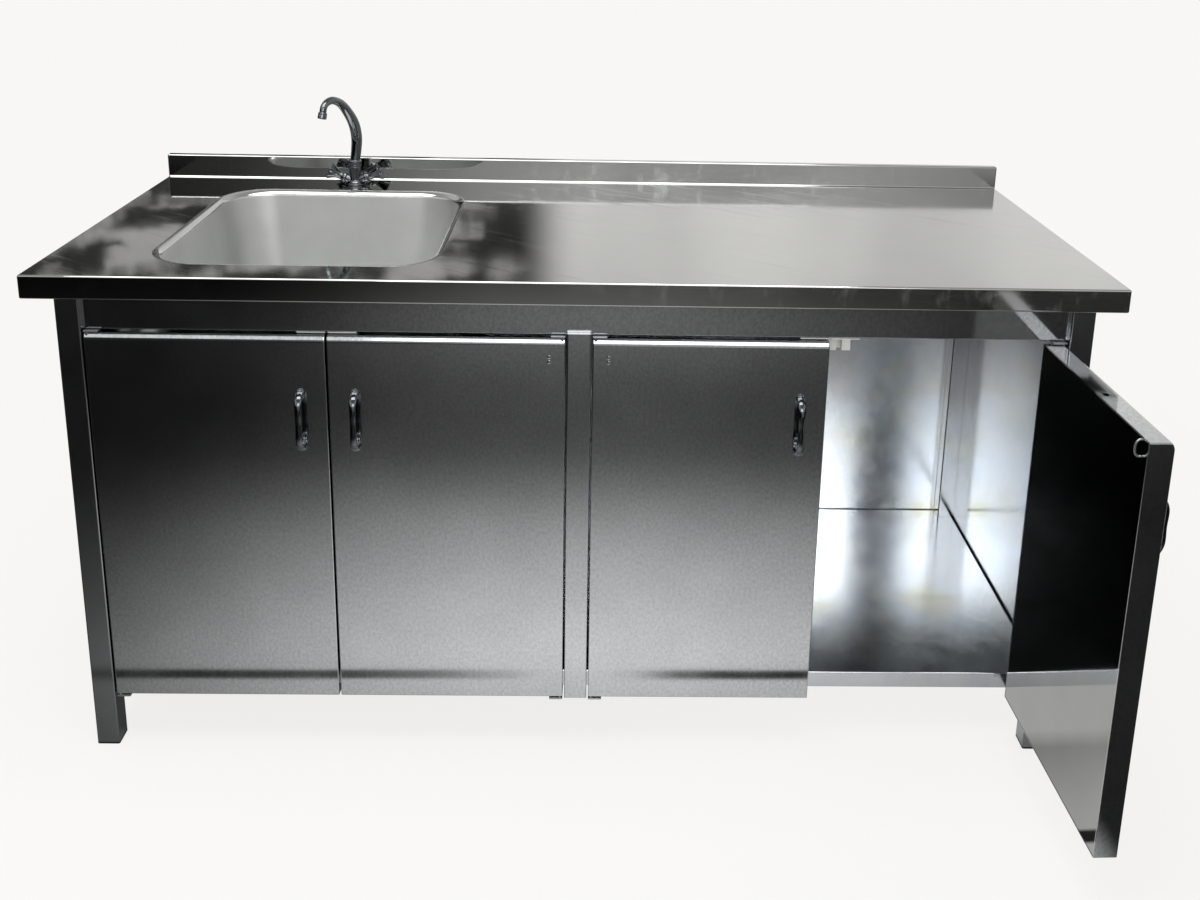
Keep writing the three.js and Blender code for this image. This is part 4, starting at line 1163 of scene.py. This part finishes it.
def leaf_place(number):
    """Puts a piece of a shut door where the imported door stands."""
    hinge = joint(f"door_{number}_hinge")
    shut = hinge["range_deg"][1] if leaf_way(number) > 0 else hinge["range_deg"][0]
    pivot = Vector((*hinge["pos_m"][:2], 0))
    return Matrix.Translation(pivot) @ turn(-shut, "Z")


def leaf_box(way, low, high):
    """A box in a door's own frame, given for a door whose free edge is on the right."""
    mesh = bmesh.new()
    left, right = (low.x, high.x) if way > 0 else (-high.x, -low.x)
    block(mesh, (left, *low.yz), (right, *high.yz))
    return mesh


def leaf_piece(mesh, number, node, name, inset):
    """A piece of one door that was drawn about its own middle, `inset` from the free edge."""
    low, high = node_box(f"door_1_{node}")
    x = leaf_way(number) * (LEAF_HIGH.x - inset)
    move(mesh, leaf_place(number) @ Matrix.Translation((x, 0, (low.z + high.z) / 2)))
    return as_object(f"door_{number}_{name}", mesh)


def weld_spots(mesh, way, sizes):
    """Adds the low domes where two spot welds show through by the pivot's bracket."""
    spread, crown = sizes.weld_spot / MM, 0.45
    dome = [(spread * share, crown * (1 - share * share)) for share in (1, 0.85, 0.7, 0.5, 0.25, 0)]
    for below in (32 * MM, 41 * MM):
        place = Vector((way * (LEAF_LOW.x + 27 * MM), LEAF_LOW.y, LEAF_HIGH.z - below))
        spot = turned([(0, -0.2), (spread, -0.2), *dome], 24)
        add_mesh(mesh, spot, Matrix.Translation(place) @ turn(90, "X"))


def door_pan(number, sizes):
    """The outer sheet, folded back round all four edges, with its drain and pivot holes."""
    way, low, high = leaf_way(number), LEAF_LOW, LEAF_HIGH
    skin = leaf_box(way, low, high)
    drop_faces_towards(skin, (0, 1, 0))
    start = high.z - sizes.door_slope
    slit(skin, (0, 0, start), (0, 0, 1))
    front = [edge for edge in skin.edges if lies_at(edge, 1, low.y)]
    top, foot = ([edge for edge in front if lies_at(edge, 2, z)] for z in (high.z, start))
    lean = (0, sizes.door_slope_depth, 0)
    bmesh.ops.translate(skin, vec=lean, verts=[vert for edge in top for vert in edge.verts])
    round_edges(skin, top + foot, 3 * MM, 5)
    middle = (way * (low.x + high.x) / 2, high.y, (low.z + high.z) / 2)
    piece = sheet_piece(f"door_{number}_outer", skin, middle, sizes.door_fold, sizes.sheet)
    from_back, through = 11 * MM, 10 * MM
    drain = (way * (low.x + sizes.drain_from_hinge), high.y - from_back, high.z)
    cut_away(
        piece, rod(drain, sizes.drain_hole, through),
        *(rod((0, 0, z), sizes.pin_hole, through, 24) for z in (high.z, low.z)),
    )
    mesh = opened(piece.data)
    if number in (2, 3):
        weld_spots(mesh, way, sizes)
    store(move(mesh, leaf_place(number)), piece.data)
    return piece


def door_liner(number, sizes):
    """The inner sheet, turned in at its edges, that slips inside the pan."""
    way, inset = leaf_way(number), sizes.liner_gap
    low = Vector((LEAF_LOW.x + inset, LEAF_HIGH.y - 9 * MM, LEAF_LOW.z + inset))
    high = Vector((LEAF_HIGH.x - inset, LEAF_HIGH.y, LEAF_HIGH.z - inset))
    skin = leaf_box(way, low, high)
    drop_faces_towards(skin, (0, -1, 0))
    middle = (way * (low.x + high.x) / 2, low.y, (low.z + high.z) / 2)
    piece = sheet_piece(f"door_{number}_inner", skin, middle, sizes.liner_fold, sizes.sheet)
    piece.data.transform(leaf_place(number))
    return piece


def bowed_bar(lower, out, radius, steps, squash, sides):
    """A bar bent in the Y-Z plane: its (y, z) lower half, its outermost point, and the same
    again above. The radius depends on the share of the way from the middle to either end."""
    points = [*lower, (out, 0), *((y, -z) for y, z in reversed(lower))]
    path = smooth_path([(0, y, z) for y, z in points], steps)
    radii = [radius(2 * step / steps - 1) for step in range(steps + 1)]
    return swept(path, radii, (1, 0, 0), squash, sides)


def door_handle(number):
    """A bow handle: a flattened bar that springs from two flared feet."""
    low, high = node_box("door_1_handle")
    half = (high.z - low.z) / 2
    root, reach = LEAF_LOW.y - 0.3 * MM, 26 * MM
    far = root - reach + 3 * MM
    lower = [
        (root - 3 * MM, 7 * MM - half), (root - reach * 0.55, 13 * MM - half), (far, 27 * MM - half),
    ]

    def radius(share):
        return (3.6 - 0.7 * math.cos(math.pi * share)) * MM

    mesh = bowed_bar(lower, far - 0.5 * MM, radius, 56, 1.75, 28)
    foot = [
        (0, 0), (7.6, 0), (8, 0.4), (8, 1.2), (7.5, 1.8), (6.5, 2.5), (5.8, 3.4), (5.2, 5.2), (0, 5.4),
    ]
    for end in (-1, 1):
        place = Matrix.Translation((0, root, end * (half - 10 * MM)))
        place @= Matrix.Diagonal((1, 1, 1.25, 1)) @ turn(90, "X")
        add_mesh(mesh, turned(foot, 40), place)
    return leaf_piece(mesh, number, "handle", "bow", inset=44 * MM)


def door_strike(number):
    """A bent wire staple that enters the catch as the door shuts."""
    low, high = node_box("door_1_strike")
    wire = 1.6 * MM
    half = (high.z - low.z) / 2 - wire
    root = LEAF_HIGH.y + 0.3 * MM
    out = root + 12 * MM - wire
    lower = [(root, -half), (root + 4.8 * MM, -half), (out - 1 * MM, -half * 0.62)]
    mesh = bowed_bar(lower, out, lambda share: wire, 40, 1.0, 16)
    return leaf_piece(mesh, number, "strike", "staple", inset=20 * MM)


def pivot_bracket(node, number, plate):
    """A plate with rounded corners and the fixed pin that a door turns on."""
    low, high = node_box(node)
    pin_low, pin_high, under, over = low.z, high.z, low.z, high.z
    sunk = 1 * MM
    if "top" in node:
        under, pin_high = high.z - plate, high.z - sunk
    else:
        over, pin_low = low.z + plate, low.z + sunk
    mesh = rounded_block((*low.xy, under), (*high.xy, over), 2 * MM, rim=0.3 * MM)
    pin = turned(chamfered(0, 2.5, pin_low / MM, pin_high / MM), 28)
    pivot = joint(f"door_{number}_hinge")["pos_m"]
    add_mesh(mesh, pin, Matrix.Translation((*pivot[:2], 0)))
    return mesh


def catch_piece(node):
    """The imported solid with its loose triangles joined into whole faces."""
    mesh = opened(frame["nodes"][node].data)
    bmesh.ops.remove_doubles(mesh, verts=mesh.verts, dist=SAME_POINT)
    drop_flat_edges(mesh)
    return mesh


class SINKUNIT_OT_doors(bpy.types.Operator):
    """Makes the four tray doors with their liners, handles, strikes, pivots and catches"""

    bl_idname = "sinkunit.doors"
    bl_label = "Doors"

    def execute(self, context):
        sizes = context.scene.sink_unit_sizes
        for number in (1, 2, 3, 4):
            body = f"door_{number}"
            pan, liner = door_pan(number, sizes), door_liner(number, sizes)
            finish(pan, f"{body}_pan", "satin", body, sizes.edge_break)
            finish(liner, f"{body}_liner", "liner", body, sizes.edge_break)
            finish(door_handle(number), f"{body}_handle", "chrome", body)
            finish(door_strike(number), f"{body}_strike", "zinc", body)
            for end, plate in (("bottom", 3 * MM), ("top", 2.2 * MM)):
                node = f"pivot_{end}_{number}"
                fit(f"{node}_plate", pivot_bracket(node, number, plate), node, "zinc")
            node = f"catch_{number}"
            fit(f"{node}_dressed", catch_piece(node), node, "white", edge=0.8 * MM)
        return {"FINISHED"}


# Studio ------------------------------------------------------------------------------------

# Name, place, the point it faces, width and height, and power in watts
SOFTBOXES = (
    ("front_softbox", (0.3, -4.2, 2.90), (0.5, 0.1, 0.5), (2.8, 1.2), 30),
    ("overhead_softbox", (-0.45, -0.6, 3.3), (-0.45, 0.0, 0.8), (2.8, 2.0), 76),
)
CAMERA_YAW = 1.244
CAMERA_PITCH = 14.721
CAMERA_ROLL = 1.148
CAMERA_PLACE = Vector((0.0241, -2.1255, 1.5030))


def camera_matrix():
    """The camera's place, its yaw to the right, its pitch down and its roll."""
    place = Matrix.Translation(CAMERA_PLACE)
    return place @ turn(-CAMERA_YAW, "Z") @ turn(90 - CAMERA_PITCH, "X") @ turn(CAMERA_ROLL, "Z")


def room_light(shader):
    """What polished metal sees of the room: a pale wall and ceiling beyond the worktop, dark to
    the left of the middle, and behind the photographer a lit band low on the wall."""
    direction = shader.add("TexCoord", output="Generated")
    across, ahead, height = (shader.split(direction, axis) for axis in "XYZ")
    bands = shader.noise(direction, (170, 170, 900), 2.0, 0.5)
    wall = shader.ramp(bands, [(0.30, 0.66), (0.70, 0.92), (0.46, 0.74), (0.56, 0.86)], 0.97)
    patches = shader.noise(direction, (55, 55, 18), 3.0, 0.6)
    shade = shader.ramp(
        patches, [(0.0, 0.02), (1.0, 0.55), (0.50, 0.02), (0.54, 0.2), (0.58, 0.5)], 0.97,
    )
    side = shader.maths("ADD", across, shader.maths("MULTIPLY", ahead, 0.045))
    beyond = shader.mix(shader.eased(side, -0.02, 0.03), shade, wall)
    beyond = shader.mix(shader.eased(height, 0.34, 0.44), beyond, (0.62, 0.62, 0.61))
    behind = shader.ramp(
        height, [
            (0.0, 0.3), (1.0, 0.3), (0.12, 0.62), (0.24, 0.66), (0.32, 1.0), (0.60, 1.0),
            (0.70, 0.15), (0.85, 0.28),
        ],
    )
    left = shader.ramp(
        shader.share(across, -0.5, 0.5),
        [(0.0, 0.03), (1.0, 0.6), (0.22, 0.04), (0.32, 0.3), (0.42, 0.95), (0.72, 1.0), (0.82, 0.75)],
    )
    low_down = shader.ranged(height, 1.0, 0.0, 0.27, 0.34)
    behind = shader.mix(low_down, behind, left, "MULTIPLY")
    lit = shader.mix(shader.eased(ahead, -0.05, 0.12), behind, beyond)
    return shader.mix(shader.eased(height, 0.60, 0.85), lit, 0.42)


def studio_world(background):
    """White to the camera, the room's reflections to metal, and an even pale light to the rest."""
    world = bpy.data.worlds.new("pale_studio")
    shader = Shader(world)
    seen, even, room = (
        shader.light("Background", tint) for tint in (background, 0.55, room_light(shader))
    )
    lit = shader.chosen("Is Glossy Ray", even, room)
    shader.add("OutputWorld", {"Surface": shader.chosen("Is Camera Ray", lit, seen)})
    bpy.context.scene.world = world


def floor_painted_glow(shader, across, along):
    """What polished metal sees of the floor, which glows with painted light: a painted pool of light in
    front of the doors, with one dark line across it, a painted shadow of the open right-hand door, and
    painted shade under the object."""
    dark, line_slant, line_place = 0.02, -0.009, 0.218
    reach = shader.maths("SUBTRACT", node_box("door_1_pan")[0].y, along)
    # Painted pool of light on the floor, brightest just in front of the doors.
    pool = shader.ramp(
        shader.share(reach, 0.0, 4.0), [
            (0.0, 0.42), (1.0, 0.012), (0.055, 1.0), (0.09, 0.94), (0.15, 0.68), (0.20, 0.50),
            (0.25, 0.27), (0.31, 0.10), (0.42, 0.09), (0.52, 0.17), (0.6, 0.24), (0.7, 0.13),
            (0.85, 0.03),
        ],
    )
    spread = shader.ramp(
        shader.share(across, -1.5, 1.5), [
            (0.0, 0.02), (1.0, 0.1), (0.14, 0.10), (0.24, 0.36), (0.36, 0.80), (0.5, 1.0),
            (0.62, 0.9), (0.78, 0.5),
        ],
    )
    lit = shader.mix(1.0, pool, spread, "MULTIPLY")
    tilted = shader.maths("ADD", reach, shader.maths("MULTIPLY", across, line_slant))
    off_line = shader.maths("ABSOLUTE", shader.maths("SUBTRACT", tilted, line_place))
    strength = shader.ramp(
        shader.share(across, -0.8, 0.4), [
            (0.0, 1.0), (1.0, 1.0), (0.30, 0.9), (0.45, 0.7), (0.56, 0.2), (0.62, 0.0), (0.76, 0.0),
            (0.84, 1.0),
        ], 1.0,
    )
    line = shader.maths("MULTIPLY", shader.ranged(off_line, 1.0, 0.0, 0.011, 0.018), strength)
    lit = shader.mix(line, lit, dark)
    # Painted shadow of the open right-hand door on the floor, right of x = 0.86 m and within about 1.3 m
    # of the doors.
    near = shader.ranged(reach, 1.0, 0.0, 1.2, 1.45, "SMOOTHSTEP")
    painted_door_shadow = shader.maths("MULTIPLY", near, shader.eased(across, 0.86, 0.92))
    lit = shader.mix(painted_door_shadow, lit, dark)
    far_side = shader.mix(shader.share(across, -1.0, 1.0), dark, 0.4)
    lit = shader.mix(shader.share(reach, 3.0, 3.8), lit, far_side)
    # Painted shade on the floor under the object, darkest on the left.
    below = shader.mix(shader.eased(across, 0.0, 0.4), 0.07, (0.55, 0.55, 0.54))
    lit = shader.mix(shader.share(reach, -0.05, 0.0), below, lit)
    return shader.mix(shader.share(along, 0.34, 0.6), lit, (0.5, 0.5, 0.49))


def floor_material(background):
    """A white paper sweep: it takes the object's shadow and fades into the backdrop."""
    material, shader, place = new_material("White_paper_sweep")
    across, along = (shader.split(place, axis) for axis in "XY")
    flat = shader.add("CombineXYZ", {"X": across, "Y": along, "Z": 0.0})
    distance = shader.add("VectorMath", {0: flat}, "Value", operation="LENGTH")
    fade = shader.ranged(distance, 0.87, 1.0, 1.0, 2.6)
    paper = shader.add("BsdfDiffuse", {"Color": full_colour(background)})
    seen = shader.chosen(fade, paper, shader.light("Emission", background))
    # To glossy rays the floor glows with painted light and painted shade instead of taking the lamps'
    # light.
    painted_floor_glow = shader.light("Emission", floor_painted_glow(shader, across, along))
    shader.add("OutputMaterial", {"Surface": shader.chosen("Is Glossy Ray", seen, painted_floor_glow)})
    return material


def stand(name, data, place):
    """Puts a lamp or a camera in the scene."""
    holder = bpy.data.objects.new(name, data)
    bpy.context.scene.collection.objects.link(holder)
    holder.matrix_world = place
    return holder


def softbox(name, place, target, size, power):
    """A rectangular lamp that faces a point."""
    lamp = bpy.data.lights.new(name, "AREA")
    lamp.shape = "RECTANGLE"
    lamp.size, lamp.size_y = size
    lamp.energy = power
    aim = (Vector(target) - Vector(place)).to_track_quat("-Z", "Y").to_matrix().to_4x4()
    stand(name, lamp, Matrix.Translation(place) @ aim).visible_camera = False


class SINKUNIT_OT_stage(bpy.types.Operator):
    """Sets the pale floor, the soft lamps, the world and the camera"""

    bl_idname = "sinkunit.stage"
    bl_label = "Studio"

    def execute(self, context):
        studio = context.scene.sink_unit_studio
        context.scene.view_settings.view_transform = "Standard"
        mesh = bmesh.new()
        bmesh.ops.create_grid(mesh, x_segments=1, y_segments=1, size=40.0)
        floor = as_object("studio_floor", mesh)
        floor.data.materials.append(floor_material(studio.background))
        studio_world(studio.background)
        for lamp in SOFTBOXES:
            softbox(*lamp)
        camera = bpy.data.cameras.new("photograph_camera")
        camera.sensor_width = 36.0
        camera.lens = studio.lens
        camera.shift_x, camera.shift_y = studio.shift_x, studio.shift_y
        camera.clip_end = 100.0
        context.scene.camera = stand("photograph_camera", camera, camera_matrix())
        return {"FINISHED"}


# Panel and registration --------------------------------------------------------------------

OPERATORS = (
    SINKUNIT_OT_stage, SINKUNIT_OT_worktop, SINKUNIT_OT_bowl, SINKUNIT_OT_waste, SINKUNIT_OT_tap,
    SINKUNIT_OT_frame, SINKUNIT_OT_panels, SINKUNIT_OT_doors,
)
GROUPS = {
    "sink_unit_sizes": SinkUnitSizes,
    "sink_unit_colours": SinkUnitColours,
    "sink_unit_studio": SinkUnitStudio,
}


class SINKUNIT_PT_pieces(bpy.types.Panel):
    """Lists the sizes, the finishes and the pieces of the sink unit"""

    bl_idname = "SINKUNIT_PT_pieces"
    bl_label = "Sink unit"
    bl_space_type = "VIEW_3D"
    bl_region_type = "UI"
    bl_category = "Sink unit"

    def draw(self, context):
        for name, group in GROUPS.items():
            box = self.layout.box()
            for setting in group.__annotations__:
                box.prop(getattr(context.scene, name), setting)
        for operator in OPERATORS:
            self.layout.operator(operator.bl_idname)


def register():
    for name, group in GROUPS.items():
        bpy.utils.register_class(group)
        setattr(bpy.types.Scene, name, bpy.props.PointerProperty(type=group))
    for kind in (*OPERATORS, SINKUNIT_PT_pieces):
        bpy.utils.register_class(kind)


def unregister():
    for kind in (SINKUNIT_PT_pieces, *reversed(OPERATORS)):
        bpy.utils.unregister_class(kind)
    for name, group in reversed(GROUPS.items()):
        delattr(bpy.types.Scene, name)
        bpy.utils.unregister_class(group)


def main():
    register()
    for operator in OPERATORS:
        group, name = operator.bl_idname.split(".")
        getattr(getattr(bpy.ops, group), name)()


if __name__ == "__main__":
    main()
